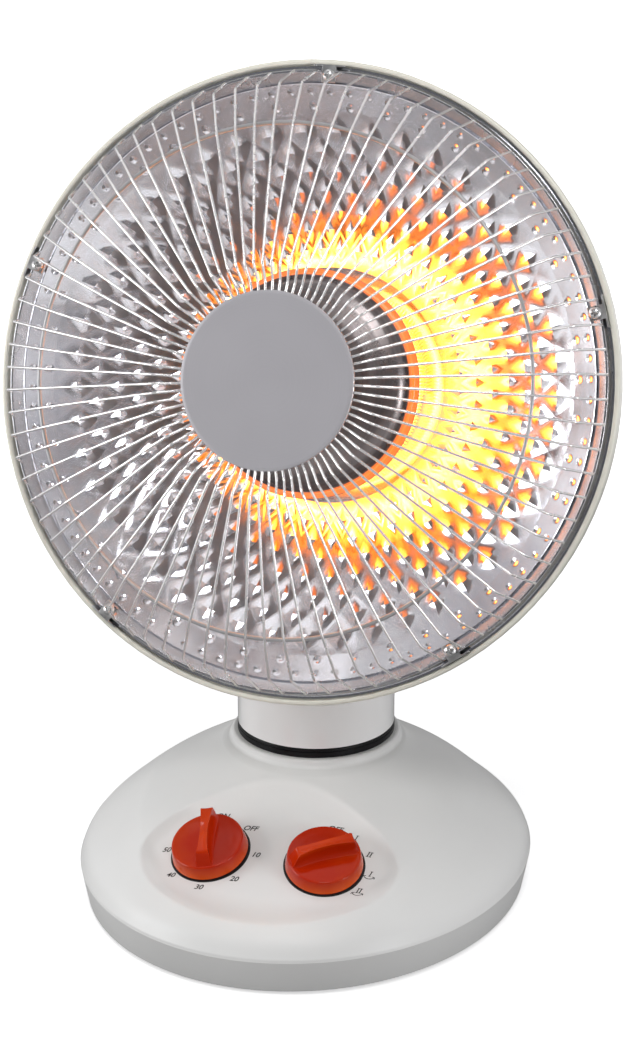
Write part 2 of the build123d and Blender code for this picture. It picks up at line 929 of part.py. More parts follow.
def wire_angles():
    return around(wire_count, 90.0 + 180.0 / wire_count)


def root_ring_bottom():
    return wire_root_height - wire_radius * cos(radians(30)) + weld_sink - root_ring_thick


def guard_wires():
    """All radial wires, welded to the flat ring behind their inner ends."""
    wire = guard_wire()
    bottom = root_ring_bottom()
    root_ring = ring(root_ring_outer, root_ring_inner, bottom, bottom + root_ring_thick)
    return head_frame() * root_ring.fuse(*[Rot(0, 0, a) * wire for a in wire_angles()])


def guard_ring():
    slope = atan2(wire_step_height - wire_shoulder_height, shoulder_radius() - wire_step_out_radius)
    height = wire_shoulder_height - (wire_radius + guard_ring_wire_radius + 2 * seat_gap) / cos(slope)
    section = Rot(90, 0, 0) * RegularPolygon(guard_ring_wire_radius, wire_sides)
    return head_frame() * revolve(Pos(shoulder_radius(), 0, height) * section, Axis.Z, 360)


def disc_bottom():
    return wire_root_height + wire_radius + seat_gap


def centre_disc():
    disc = cylinder(disc_radius, disc_bottom(), disc_bottom() + disc_thick)
    disc = fillet(disc.edges().group_by(Axis.Z)[-1], disc_edge_round)
    return head_frame() * disc


def disc_back_plate():
    top = root_ring_bottom() - seat_gap
    plate = cylinder(disc_back_radius, top - disc_back_thick, top)
    hole = Pos(rivet_ring, 0, 0) * cylinder(rivet_radius + shaft_fit, 0, disc_bottom())
    return head_frame() * (plate - [Rot(0, 0, a) * hole for a in rivet_angles()])


def rivet_angles():
    return around(rivet_count, 90.0)


def disc_rivets():
    bottom = root_ring_bottom() - seat_gap - disc_back_thick
    rivet = cylinder(rivet_radius, bottom, disc_bottom())
    rivet += cylinder(2 * rivet_radius, bottom - disc_back_thick, bottom)
    return head_frame() * solids([Rot(0, 0, a) * Pos(rivet_ring, 0, 0) * rivet for a in rivet_angles()])


# Heating element

def core_back():
    return core_front - core_length


def element_core():
    """Ceramic former of the winding, with a shoulder towards the reflector."""
    back = core_back()
    core = ring(core_radius, core_bore, back, core_front)
    floor = dish_height(dish_floor_radius)
    core += ring(core_shoulder_radius, stud_radius + stud_fit, floor + seat_gap, back)
    lead_hole = cylinder(coil_wire_radius + running_gap, floor - cut_overrun, back + core_shoulder)
    return head_frame() * (core - Pos(core_shoulder_radius - core_shoulder, 0, 0) * lead_hole)


def coil_radius():
    return core_radius + coil_seat + coil_wire_radius


def helix_point(turn):
    x, y = polar(coil_radius(), 360.0 * turn)
    return Vector(x, y, coil_start + coil_pitch * turn)


def helix_tangent(turn):
    x, y = polar(coil_radius(), 360.0 * turn + 90.0)
    return Vector(2 * pi * x, 2 * pi * y, coil_pitch).normalized()


def tangent_arc(start, tangent, end):
    """Arc from start to end that leaves along the tangent."""
    chord = end - start
    along = chord.normalized()
    side = (tangent - along * tangent.dot(along)).normalized()
    half = radians(tangent.get_angle(along)) / 2
    return ThreePointArc(start, (start + end) * 0.5 + side * (chord.length / 2 * tan(half)), end)


def biarc(start, start_tangent, end, end_tangent):
    """Two arcs that meet smoothly between two points of the winding."""
    span = end - start
    both = start_tangent + end_tangent
    a = 2 * (1 - start_tangent.dot(end_tangent))
    b = 2 * span.dot(both)
    c = -span.dot(span)
    reach = (-b + sqrt(b * b - 4 * a * c)) / (2 * a)
    meet = (start + start_tangent * reach + end - end_tangent * reach) * 0.5
    second = tangent_arc(end, end_tangent * -1, meet)
    return [tangent_arc(start, start_tangent, meet), second]


def heating_coil():
    """The wound heating wire: one unbroken tube round the ceramic core."""
    steps = coil_turns * 4
    path = []
    for k in range(steps):
        t0, t1 = k / 4, (k + 1) / 4
        path += biarc(helix_point(t0), helix_tangent(t0), helix_point(t1), helix_tangent(t1))
    wire = Wire([edge for arc in path for edge in arc.edges()])
    section = Plane(origin=wire @ 0, x_dir=(0, 0, 1), z_dir=wire % 0) \
        * RegularPolygon(coil_wire_radius, coil_wire_sides)
    return head_frame() * sweep(section, path=wire)


def coil_gap():
    """Least gap of the winding to itself, measured between points one turn apart."""
    points = [helix_point(k / 48) for k in range(48 * coil_turns + 1)]
    pairs = [(i, j) for i in range(len(points)) for j in range(i + 24, len(points))]
    return min((points[i] - points[j]).length for i, j in pairs) - 2 * coil_wire_radius


def cap_outline(shrink):
    top = core_front + cap_rim - shrink
    side = cap_radius - shrink
    return [(0, top + cap_crown_rise), (cap_shoulder_radius, top + cap_shoulder_rise), (side, top),
            (side, core_front + seat_gap)]


def element_cap():
    """Dark spun cap in front of the winding."""
    cap = turned(cap_outline(0) + cap_outline(cap_thick)[::-1])
    return head_frame() * (cap - cylinder(stud_radius + stud_fit, core_front, cap_top() + cut_overrun))


def cap_top():
    return core_front + cap_rim + cap_crown_rise


def holder_back():
    return dish_height(dish_floor_radius) - dish_back_step - seat_gap - holder_thick


def element_stud():
    """Threaded rod through cap, core, reflector, washer and strap."""
    top = cap_top() + cap_nut_thick + stud_reach
    return head_frame() * cylinder(stud_radius, stud_tail - shell_back_depth, top)


def cap_nut():
    top = cap_top()
    nut = hexagon_nut(cap_nut_radius, stud_radius + shaft_fit, top + seat_gap, top + cap_nut_thick)
    return head_frame() * nut


def element_holder():
    """Ceramic washer behind the reflector, under the terminal strap."""
    body = ring(holder_radius, stud_radius + stud_fit, holder_back(), holder_back() + holder_thick)
    return head_frame() * body


def strap_top():
    return holder_back() - seat_gap


def terminal_strap():
    top = strap_top()
    strap = block(strap_length, strap_width, top - strap_thick, top)
    return head_frame() * (strap - cylinder(stud_radius + stud_fit, -shell_back_depth, 0))


def lock_nut():
    top = strap_top() - strap_thick - seat_gap
    return head_frame() * hexagon_nut(lock_nut_radius, stud_radius + shaft_fit, top - lock_nut_thick, top)


def thermal_cutout():
    top = strap_top() - strap_thick - seat_gap
    body = cylinder(cutout_radius, top - cutout_height, top)
    body += block(cutout_radius * 3 / 2, strap_width, top - cutout_flange_thick, top)
    return head_frame() * Pos(-cutout_offset, 0, 0) * body


def element_terminals():
    top = strap_top() - strap_thick - seat_gap
    posts = []
    for a in (0.0, 180.0):
        x, y = polar(post_ring, a)
        posts.append(Pos(x, y, 0) * cylinder(post_radius, top - post_length, top))
    return head_frame() * solids(posts)


# Dials and what they turn

def dial_skirt(foot, top):
    rims = [Pos(0, 0, foot) * Circle(dial_foot_radius), Pos(0, 0, top) * Circle(dial_top_radius)]
    body = loft(rims, ruled=True)
    return fillet(body.edges().group_by(Axis.Z)[-1], dial_edge_round)


def grip_plan():
    """Waisted outline of the grip from above, widest at its pointer end."""
    waist = grip_waist / 2
    end = grip_end_width / 2
    with BuildSketch() as plan:
        with BuildLine():
            ThreePointArc((-waist, -grip_tail), (-waist, 0), (-end, grip_tip))
            Line((-end, grip_tip), (end, grip_tip))
            ThreePointArc((end, grip_tip), (waist, 0), (waist, -grip_tail))
            Line((waist, -grip_tail), (-waist, -grip_tail))
        make_face()
    return plan.sketch


def grip_side(top):
    """Outline of the grip from the side: an arched ridge between two sloping ends."""
    level = top - dial_edge_round
    tail = (grip_tail_slope - grip_tail, top + grip_tail_rise)
    tip = (grip_tip - grip_tip_slope, top + grip_tip_rise)
    with BuildSketch(Plane.YZ) as side:
        with BuildLine():
            Polyline((-grip_tail, 0), (-grip_tail, level), tail)
            ThreePointArc(tail, (0, top + grip_crown_rise), tip)
            Polyline(tip, (grip_tip, level), (grip_tip, 0), (-grip_tail, 0))
        make_face()
    return side.sketch


def dial(side, reading):
    """Round dial with a tall waisted grip across it."""
    foot = dial_gap
    top = dial_gap + dial_height
    bar = Pos(0, 0, foot + dial_height / 2) * extrude(grip_plan(), dial_height / 2 + grip_crown_rise)
    bar &= extrude(grip_side(top), grip_end_width, both=True)
    body = dial_skirt(foot, top) + bar - cylinder(shaft_radius + shaft_fit, 0, dial_bore_depth)
    return dial_frame(side) * Rot(0, 0, -reading) * body


def dial_shaft(side, reading):
    shaft = cylinder(shaft_radius, -cover_wall - shaft_sink, dial_bore_depth - seat_gap)
    return dial_frame(side) * Rot(0, 0, -reading) * shaft


def switch_body(side, width, depth, thick):
    """Box behind the recess floor with a threaded bush and tags."""
    top = -cover_wall - switch_bush_length
    body = block(width, depth, top - thick, top)
    body += cylinder(switch_bush_radius, top, -cover_wall - seat_gap)
    tag = block(tag_width, tag_thick, top - thick - tag_length, top - thick)
    for share in (-1 / 3, 0, 1 / 3):
        body += Pos(share * width, 0, 0) * tag
    body -= cylinder(shaft_radius + shaft_fit, -cover_wall - shaft_sink - seat_gap, 0)
    return dial_frame(side) * body


# Tip-over switch, inlet and terminals

def tip_switch_body():
    body = block(tip_body_width, tip_body_depth, plate_top(), plate_top() + tip_body_height)
    top = plunger_length + plunger_fit
    bore = cylinder(plunger_radius + plunger_fit, 0, top)
    chamber = cylinder(plunger_collar_radius + plunger_fit, plate_top() - cut_overrun, top)
    return Pos(tip_switch_x, tip_switch_y, 0) * (body - bore - chamber)


def tip_plunger():
    stem = cylinder(plunger_radius, 0, plunger_length)
    stem += cylinder(plunger_collar_radius, plunger_length - plunger_collar_thick, plunger_length)
    return Pos(tip_switch_x, tip_switch_y, 0) * stem


def inlet_frame():
    """Mains inlet at the back of the skirt, with its axis out of the housing."""
    share = (inlet_height - skirt_lift) / (crease_height - skirt_lift)
    back = base_half_depth - base_foot_inset * (1 - share)
    return Location((0, back, inlet_height), (-90, 0, 0))


def inlet_bush():
    sleeve = cylinder(inlet_sleeve_radius, -inlet_tail, 0)
    flange = cylinder(inlet_flange_radius, -cover_wall, inlet_flange_thick)
    bore = cylinder(inlet_bore_radius, -inlet_tail - cut_overrun, inlet_flange_thick + cut_overrun)
    body = inlet_frame() * flange - outer_dome()
    body += inlet_frame() * sleeve
    return body - inlet_frame() * bore


def terminal_block():
    bottom = plate_top()
    back = ballast_half_depth() + terminal_gap + terminal_depth / 2
    body = block(terminal_width, terminal_depth, bottom, bottom + terminal_height)
    well = cylinder(terminal_depth / 4, bottom + terminal_height / 2, bottom + 2 * terminal_height)
    wells = [Pos(share * terminal_width, 0, 0) * well for share in (-1 / 3, 0, 1 / 3)]
    return Pos(0, back, 0) * (body - wells)


def build():
    return {
        "base_cover": base_cover(),
        "base_plate": base_plate(),
        "rubber_feet": rubber_feet(),
        "plate_screws": plate_screws(),
        "ballast_plate": ballast_plate(),
        "seal_ring": seal_ring(),
        "neck_bush": neck_bush(),
        "swing_motor": swing_motor(),
        "motor_bridge": motor_bridge(),
        "crank_disc": crank_disc(),
        "drive_arm": drive_arm(),
        "neck_tube": neck_tube(),
        "thrust_washer": thrust_washer(),
        "retaining_clip": retaining_clip(),
        "neck_column": neck_column(),
        "tilt_bolt": tilt_bolt(),
        "tilt_nut": tilt_nut(),
        "friction_washers": friction_washers(),
        "tilt_lug": tilt_lug(),
        "rear_shell": rear_shell(),
        "reflector": reflector(),
        "rim_band": rim_band(),
        "rim_clamps": rim_clamps(),
        "rim_screws": rim_screws(),
        "guard_wires": guard_wires(),
        "guard_ring": guard_ring(),
        "centre_disc": centre_disc(),
        "disc_back_plate": disc_back_plate(),
        "disc_rivets": disc_rivets(),
        "element_core": element_core(),
        "heating_coil": heating_coil(),
        "element_cap": element_cap(),
        "element_stud": element_stud(),
        "cap_nut": cap_nut(),
        "element_holder": element_holder(),
        "terminal_strap": terminal_strap(),
        "lock_nut": lock_nut(),
        "thermal_cutout": thermal_cutout(),
        "element_terminals": element_terminals(),
        "timer_dial": dial(-1, timer_reading),
        "timer_shaft": dial_shaft(-1, timer_reading),
        "timer_body": switch_body(-1, timer_width, timer_depth, timer_thick),
        "mode_dial": dial(1, mode_reading),
        "mode_shaft": dial_shaft(1, mode_reading),
        "mode_switch_body": switch_body(1, switch_width, switch_depth, switch_thick),
        "tip_switch_body": tip_switch_body(),
        "tip_plunger": tip_plunger(),
        "inlet_bush": inlet_bush(),
        "terminal_block": terminal_block(),
    }


os.makedirs("parts", exist_ok=True)
for name, shape in build().items():
    export_step(shape, f"parts/{name}.step")
print("least gap of the heating coil to itself:", round(coil_gap(), 3), "mm")
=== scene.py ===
import bmesh
import bpy
import numpy as np
from math import asin, atan2, cos, degrees, pi, radians, sin, tan
from mathutils import Matrix
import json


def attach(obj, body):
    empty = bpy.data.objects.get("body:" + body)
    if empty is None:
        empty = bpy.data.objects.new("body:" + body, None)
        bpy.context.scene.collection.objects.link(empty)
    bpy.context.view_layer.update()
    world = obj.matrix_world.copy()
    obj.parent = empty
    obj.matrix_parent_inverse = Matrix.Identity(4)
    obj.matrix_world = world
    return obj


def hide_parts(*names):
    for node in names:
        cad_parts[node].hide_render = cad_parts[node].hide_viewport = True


# Looks of the dish heater. Shapes are worked out in millimetres, in the places that the packed
# model gives, and are put into the row frame in metres.

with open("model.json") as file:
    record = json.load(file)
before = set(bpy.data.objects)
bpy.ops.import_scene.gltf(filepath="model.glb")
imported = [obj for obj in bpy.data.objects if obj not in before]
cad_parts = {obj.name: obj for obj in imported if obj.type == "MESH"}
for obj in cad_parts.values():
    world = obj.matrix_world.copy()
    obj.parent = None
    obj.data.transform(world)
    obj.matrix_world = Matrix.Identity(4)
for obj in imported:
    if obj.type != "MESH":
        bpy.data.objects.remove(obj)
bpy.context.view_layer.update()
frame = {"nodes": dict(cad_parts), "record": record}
MM = 0.001

# Pose and places
head_turn = -3.0
head_tilt = 18.0
base_half_width = 116.6
base_half_depth = 134.0
neck_back_share = 0.1455
neck_back = base_half_depth * neck_back_share
pivot_back = 17.0
pivot_height = 136.5
lug_inset = 1.762
lug_drop = 17.272

# Base housing; the dome's lines are shares of its rise and of its run from collar to fold
base_foot_inset = 3.4
crease_height = 13.5
skirt_lift = 2.0
skirt_rounds = [0.5, 0.7, 0.7]
collar_height = 77.1
collar_radius = 43.8
cover_wall = 2.5
cover_top_wall = 4.0
bush_hole_radius = 15.1
fold_height = 19.3
fold_inset = 0.9
fold_rise = 1.4
fold_inside_drop = 1.0
dome_height_shares = [0.0912, 0.16, 0.23, 0.355, 0.48, 0.605, 0.73, 0.857, 0.936, 1.0]
dome_side_shares = [1.0, 0.985, 0.95, 0.835, 0.698, 0.537, 0.337, 0.135, 0.041, 0.0]
dome_front_shares = [1.0, 0.965, 0.925, 0.828, 0.698, 0.537, 0.337, 0.135, 0.041, 0.0]
dome_shift_shares = [-0.045, -0.09, -0.14, -0.11, 0.06, 0.267, 0.513, 0.754, 0.923, 1.0]
dome_front_blend = 0.7
dome_top_drop = 4.8
collar_sweep = 4.6
collar_sweep_drop = 4.7
collar_root = 0.9
collar_root_drop = 4.0
collar_swell = 0.1
collar_ledge = 5.0
collar_rounds = [2.2, 1.9, 0.5, 0.3]
cover_fit_share = 0.9999
cover_columns = 540
cover_even_share = 0.42
cover_crowding = 1.4
dome_rows = 120
dome_fold_rows = 2
dome_inside_rows = 20
dome_samples = 800

# Fine fold line that runs round the dome outside the recess
panel_line_width = 82.0
panel_line_depth = 120.6
panel_line_fall = 1.1
panel_line_run = 7.5
panel_line_end = 35.0
panel_line_end_run = 25.0

# Control recess
panel_ahead_share = 0.5784
panel_ahead = base_half_depth * panel_ahead_share
panel_height = 48.0
panel_slope = 23.5
panel_crown_radius = 320.0
panel_half_width = 85.0
panel_half_height = 36.5
panel_rise = 3.0
panel_flare = 68.0
recess_round = 2.5
recess_end_round = 7.0
recess_end_start = 42.0
recess_end_run = 24.0
recess_brow_round = 0.5
recess_lowest = -30.0
recess_highest = 120.0
recess_halvings = 36
smallest_oval = 0.001

# Dials
dial_spacing = 58.8
dial_foot_radius = 19.6
dial_top_radius = 18.2
dial_height = 7.4
dial_gap = 0.8
dial_dish = 0.1
dial_dish_inset = 5.0
dial_rounds = [0.4, 1.1, 12.0]
timer_reading = -10.0
timer_mark_step = 45.0
mode_reading = 60.0
mode_mark_step = 30.0
grip_tail = 17.8
grip_tail_slope = 4.4
grip_tail_rise = 7.1
grip_tail_sink = 1.3
grip_crown_place = 0.5
grip_crown_rise = 8.7
grip_tip = 17.5
grip_tip_slope = 2.3
grip_tip_rise = 8.0
grip_tip_sink = 1.2
grip_rounds = [2.6, 60.0, 1.6]
grip_rows = 90
grip_side_steps = 13
grip_stations = [-18.0, -13.0, 2.0, 14.0, 18.0]
grip_half_widths = [4.2, 3.0, 2.05, 3.0, 3.5]
grip_foot_flare = 2.5
grip_flare_height = 6.0
grip_draft = 0.25
grip_lid_shares = [1.0, 0.985, 0.94, 0.86, 0.6, 0.3, 0.0]
grip_lid_dips = [0.35, 0.16, 0.03, 0.0, 0.14, 0.27, 0.32]

# Legends
legend_radius = 23.5
legend_size = 4.3
legend_lift = 0.04
legend_thick = 0.05
legend_slant = 0.25
numeral_half_height = 1.5
numeral_pitch = 1.35
stem_width = 0.5
serif_half_length = 0.6
serif_width = 0.28
swing_arc_radius = 3.1
swing_arc_drop = 0.2
swing_arc_from = 210.0
swing_arc_to = 330.0
swing_line_width = 0.34
swing_barbs = [(-1.1, 0.15), (0.25, -1.1)]
# Painted shadow: a dark ring on the floor round each dial's foot
shadow_ring_inner_radius = 14.0
shadow_ring_width = 0.75
shadow_ring_low = 0.03
shadow_ring_high = 0.09

# Seal ring on the collar
seal_radius = 41.1
seal_inner_radius = 33.0
seal_height = 5.0
seal_groove_rise = 2.9
seal_groove_step = 0.25
seal_groove_depth = 0.5
seal_rounds = [0.3, 0.6, 0.15, 0.1, 0.1, 0.15, 0.8, 0.3]

# Rear shell
shell_radius = 160.0
shell_front = 0.6
shell_bead = 2.6
shell_bead_depth = 4.0
groove_width = 1.8
shell_lip_front = -3.8
shell_lip_width = 5.1
shell_rim_rounds = [1.5, 1.2, 1.0, 0.5, 0.3, 0.3, 1.0]
shell_wall = 1.5
shell_band_depth = 16.0
shell_band_taper = 1.6
shell_back_depth = 86.0
shell_back_radius = 60.0
shell_back_edge = 0.35
shell_back_edge_width = 3.0
shell_back_rings = [0.0, 20.0, 40.0, 52.0]
shell_slot_approach = 58.0
shell_flank_radius = 150.0
shell_fit_share = 0.9985
belly_radius_share = 0.74
belly_depth_share = 0.735
belly_radius = shell_radius * belly_radius_share
belly_depth = shell_back_depth * belly_depth_share
slot_count = 16
slot_length = 24.0
slot_width = 4.0
slot_ring_radius = 92.0
slot_edge_share = 0.12
slot_column_shares = [-1.0, -0.66, -0.33, -slot_edge_share, 0.0, slot_edge_share, 0.33, 0.66]

# Rim band and its clamps, counted in from the shell's bead
band_width = 7.7
band_outer = shell_radius - shell_bead - groove_width
band_inner = band_outer - band_width
band_crest_radius = band_outer - 2.0
band_crest = 2.0
band_crest_out = 0.7
band_crest_in = 0.5
band_thick = 0.8
band_rounds = [0.2, 0.5, 0.3, 0.2, 0.2, 0.35, 0.35, 0.3]
clamp_thick = 0.8
clamp_gap = 0.1
screw_angles = [90.0, 162.0, 234.0, 306.0, 18.0]
screw_ring = band_outer - 4.0
screw_seat = band_crest + clamp_gap + clamp_thick
screw_head_radius = 3.0
screw_head_height = 2.0
screw_length = 9.0
screw_radius = 1.4
screw_tip_radius = 1.3
screw_tip_length = 0.4
screw_sink = 0.2
screw_dome_share = 0.86
cross_arm_share = 0.16
cross_reach_share = 0.62
cross_end_share = 0.12
cross_depth_share = 0.55

# Reflector; each row of pits is its radius, count, first angle, pit radius and depth
dish_edge = band_inner - 0.2
flange_radius = shell_radius - shell_bead - 0.8
flange_thick = 0.8
dish_depth = 58.2
dish_edge_drop = 1.04
dish_edge_turn = 0.15
dish_edge_fold = 0.2
dish_floor_radius = 60.1
dish_floor_step = 1.5
dish_hole_radius = 20.0
dish_back_step = 2.4
pit_band = 12.8
facet_outer = dish_edge - pit_band
facet_count = 45
facet_rows = 8
facet_relief = 1.7
facet_hollow = 0.28
facet_inner_hollow = 0.5
facet_steps = 4
band_start = 0.5
pit_rows = [(facet_outer + 2.8, 45, 94.0, 2.0, 0.55), (dish_edge - 3.5, 90, 90.0, 1.6, 0.45)]

# Guard and its disc
wire_count = 80
wire_radius = 0.68
wire_sides = 10
wire_start_radius = 38.0
wire_root_height = 55.6
wire_step_in_radius = 48.0
wire_step_out_radius = 56.0
wire_step_height = 59.6
wire_shoulder_radius = band_crest_radius - 28.6
wire_shoulder_height = 37.4
wire_kink_radius = band_crest_radius - 8.0
wire_kink_height = 26.4
wire_end_radius = band_crest_radius + 0.3
wire_end_height = band_crest + 0.35
wire_rounds = [5.0, 5.0, 14.0, 5.0]
wire_flat_share = cos(radians(30.0))
root_ring_inner = 35.0
root_ring_outer = 43.0
root_ring_thick = 1.6
root_ring_round = 0.3
weld_sink = 0.3
guard_ring_wire = 1.0
guard_ring_play = 0.1
disc_radius = 43.3
disc_bottom = 56.55
disc_thick = 1.2
disc_edge_width = 1.2
disc_back_rise = 0.2
disc_border_drop = 0.25
disc_border_width = 1.6
disc_rounds = [0.3, 0.3, 0.5, 1.5]

# Element; the cap's crown is given as radius and rise over the cap's rim
core_radius = 48.6
core_front = -11.0
core_back = -43.0
core_shoulder_radius = 46.0
core_shoulder = 10.0
core_rounds = [0.5, 0.5, 0.8, 0.8]
coil_turns = 5
coil_pitch = 5.8
coil_start = -41.0
coil_radius = 51.2
spring_radius = 1.75
spring_wire = 0.36
spring_curls = 190
spring_steps = 9600
spring_sides = 4
cap_radius = 55.0
cap_lip_radius = 57.6
cap_lip_rise = 0.4
cap_lip_drop = 0.5
cap_rim = 9.0
cap_thick = 1.0
cap_crown = [(0.0, 10.5), (20.0, 9.8), (36.0, 7.0), (45.5, 4.4), (51.5, 1.8)]
cap_wall_drop = 4.0
cap_inside = [(36.0, 6.0), (0.0, 9.5)]
cap_inside_drop = 4.2
cap_rounds = [30.0, 30.0, 16.0, 9.0, 3.0, 0.4, 0.3, 0.3, 0.3, 1.0, 30.0]

# Meshes, in metres and degrees; an arc takes up no more than its share of an edge
arc_room_share = 0.49
seam_gap = 1e-6
legend_seam_gap = 2e-8
copy_crisp = 30.0
legend_crisp = 30.0

# Stage, in metres and degrees
floor_half_size = 12.0
floor_drop = 0.0002
camera_azimuth = 14.61
camera_elevation = 20.19
camera_distance = 1.5185
camera_aim_height = 0.19247
camera_aim_side = 0.00204


# Places as 4x4 matrices in millimetres

def moved(x=0.0, y=0.0, z=0.0):
    place = np.eye(4)
    place[:3, 3] = x, y, z
    return place


def turned(angle):
    """Turn about Z by an angle in degrees."""
    c, s = cos(radians(angle)), sin(radians(angle))
    place = np.eye(4)
    place[:2, :2] = [[c, -s], [s, c]]
    return place


def leaned(angle):
    """Frame with X kept and Z facing front, raised by the angle above the horizon."""
    c, s = cos(radians(angle)), sin(radians(angle))
    place = np.eye(4)
    place[:3, 1] = 0, s, c
    place[:3, 2] = 0, -c, s
    return place


def tipped(angle):
    """Turn about Y by an angle in degrees."""
    c, s = cos(radians(angle)), sin(radians(angle))
    place = np.eye(4)
    place[:3, 0] = c, 0, -s
    place[:3, 2] = s, 0, c
    return place


ROW = np.eye(4)
NECK = moved(0, neck_back, 0) @ turned(head_turn)
HEAD = NECK @ moved(0, pivot_back, pivot_height) @ leaned(head_tilt) \
    @ moved(0, belly_radius - lug_inset, belly_depth + lug_drop)
PANEL = moved(0, -panel_ahead, panel_height) @ leaned(90.0 - panel_slope)


def dial_place(side):
    """Seat of a dial on the crowned floor, square to it."""
    splay = degrees(asin(dial_spacing / 2 / panel_crown_radius))
    sink = panel_crown_radius * (1 - cos(radians(splay)))
    return PANEL @ moved(side * dial_spacing / 2, 0, -sink) @ tipped(side * splay)


# Lines and grids

def unit(v):
    return v / np.linalg.norm(v)


def round_steps(count, first=0.0):
    """Angles in radians of even steps round a circle, from a first angle in degrees."""
    return radians(first) + 2 * pi * np.arange(count) / count


def polar(radius, angle, height):
    """Points at a radius, an angle in radians and a height, over one grid."""
    x, y = radius * np.cos(angle), radius * np.sin(angle)
    return np.stack([x, y, height + 0 * x], -1)


def eased(corners, radius, steps, closed=False):
    """Polyline whose corners are arcs: each a conic through the corner, weighted by its half angle."""
    corners = np.asarray(corners, float)
    if closed:
        middle = (corners[0] + corners[-1]) / 2
        corners = np.vstack([middle, corners, middle])
    radii = np.broadcast_to(radius, len(corners) - 2)
    s = np.linspace(0, 1, steps + 1)[:, None]
    line = [corners[:1]]
    for before, corner, after, r in zip(corners[:-2], corners[1:-1], corners[2:], radii):
        a, b = unit(before - corner), unit(after - corner)
        half = np.arccos(np.clip(a @ b, -1, 1)) / 2
        room = arc_room_share * min(np.linalg.norm(before - corner), np.linalg.norm(after - corner))
        reach = min(r / np.tan(half), room)
        w = np.sin(half)
        ends = (1 - s) ** 2 * (corner + a * reach) + s ** 2 * (corner + b * reach)
        pull = 2 * w * s * (1 - s)
        line.append((ends + pull * corner) / ((1 - s) ** 2 + pull + s ** 2))
    if not closed:
        line.append(corners[-1:])
    return np.vstack(line)


def spline(knots, values, at):
    """Natural cubic through the knots; its second slopes solve one linear system."""
    knots, values, at = (np.asarray(a, float) for a in (knots, values, at))
    h = np.diff(knots)
    n = len(knots)
    system, right = np.eye(n), np.zeros(n)
    for i in range(1, n - 1):
        system[i, i - 1:i + 2] = h[i - 1], 2 * (h[i - 1] + h[i]), h[i]
        right[i] = 6 * ((values[i + 1] - values[i]) / h[i] - (values[i] - values[i - 1]) / h[i - 1])
    m = np.linalg.solve(system, right)
    k = np.clip(np.searchsorted(knots, at, "right") - 1, 0, n - 2)
    a, b, w = knots[k + 1] - at, at - knots[k], h[k]
    return (m[k] * a ** 3 + m[k + 1] * b ** 3) / (6 * w) \
        + (values[k] / w - m[k] * w / 6) * a + (values[k + 1] / w - m[k + 1] * w / 6) * b


def weave(rows, cols, loop_rows=False):
    """Four-cornered faces of a grid whose columns close, and whose rows close where asked."""
    r = np.arange(rows if loop_rows else rows - 1)[:, None]
    c = np.arange(cols)[None, :]
    r2, c2 = (r + 1) % rows, (c + 1) % cols
    return np.stack([r * cols + c, r * cols + c2, r2 * cols + c2, r2 * cols + c], -1).reshape(-1, 4)


def lathe(profile, count):
    """Surface of revolution: each (radius, height) of a closed profile carried round Z in count steps.
    Stretches on the axis fall together to poles."""
    profile = np.asarray(profile, float)
    grid = polar(profile[:, 0, None], round_steps(count), profile[:, 1, None])
    return grid, weave(len(grid), count, loop_rows=True)


def tube(path, radius, sides, closed=False):
    """Round bar along a path: at each point a circle across the path, on axes square to it and to Z."""
    path = np.asarray(path, float)
    ahead = np.roll(path, -1, 0) - np.roll(path, 1, 0)
    if not closed:
        ahead[0], ahead[-1] = path[1] - path[0], path[-1] - path[-2]
    ahead /= np.linalg.norm(ahead, axis=1)[:, None]
    across = np.cross(ahead, np.array([0.0, 0.0, 1.0]) + 0 * ahead)
    across /= np.linalg.norm(across, axis=1)[:, None]
    up = np.cross(across, ahead)
    t = round_steps(sides)[None, :, None]
    ring = path[:, None] + radius * (np.cos(t) * across[:, None] + np.sin(t) * up[:, None])
    if not closed:
        start, end = (np.repeat(p[:, None], sides, 1) for p in (path[:1], path[-1:]))
        ring = np.concatenate([start, ring, end])
    return ring, weave(len(ring), sides, loop_rows=closed)


def copies_round(shell, angles):
    """The same shell at several angles round Z."""
    points, faces = shell
    points = points.reshape(-1, 3)
    out, ids = [], []
    for k, angle in enumerate(angles):
        out.append(points @ turned(angle)[:3, :3].T)
        ids.append(faces + k * len(points))
    return np.vstack(out), np.vstack(ids)


def shifted(shell, x=0.0, y=0.0, z=0.0):
    points, faces = shell
    return points.reshape(-1, 3) + np.array([x, y, z]), faces


# Meshes

def joined(shells):
    """Points and faces of several shells as one list of each."""
    points, faces, start = [], [], 0
    for shell_points, shell_faces in shells:
        shell_points = shell_points.reshape(-1, 3)
        points.append(shell_points)
        faces += (shell_faces + start).tolist()
        start += len(shell_points)
    return np.vstack(points), faces


def finish_mesh(mesh, crisp, gap):
    """Welded where points lie closer than the gap, facing outwards, smooth but for its crisp edges."""
    work = bmesh.new()
    work.from_mesh(mesh)
    bmesh.ops.remove_doubles(work, verts=work.verts, dist=gap)
    bmesh.ops.recalc_face_normals(work, faces=work.faces)
    work.to_mesh(mesh)
    work.free()
    mesh.polygons.foreach_set("use_smooth", np.ones(len(mesh.polygons), bool))
    mesh.set_sharp_from_angle(angle=radians(crisp))


def finish_of(name):
    return bpy.data.materials[name + "_finish"]


def seat_piece(name, mesh, body, stands_for, finish):
    piece = bpy.data.objects.new(name, mesh)
    bpy.context.scene.collection.objects.link(piece)
    piece.data.materials.clear()
    piece.data.materials.append(finish_of(finish))
    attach(piece, body)
    if stands_for:
        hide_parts(*stands_for)
    return piece


def new_mesh(name, points, faces, crisp, gap=seam_gap):
    mesh = bpy.data.meshes.new(name)
    mesh.from_pydata(points * MM, [], faces)
    finish_mesh(mesh, crisp, gap)
    return mesh


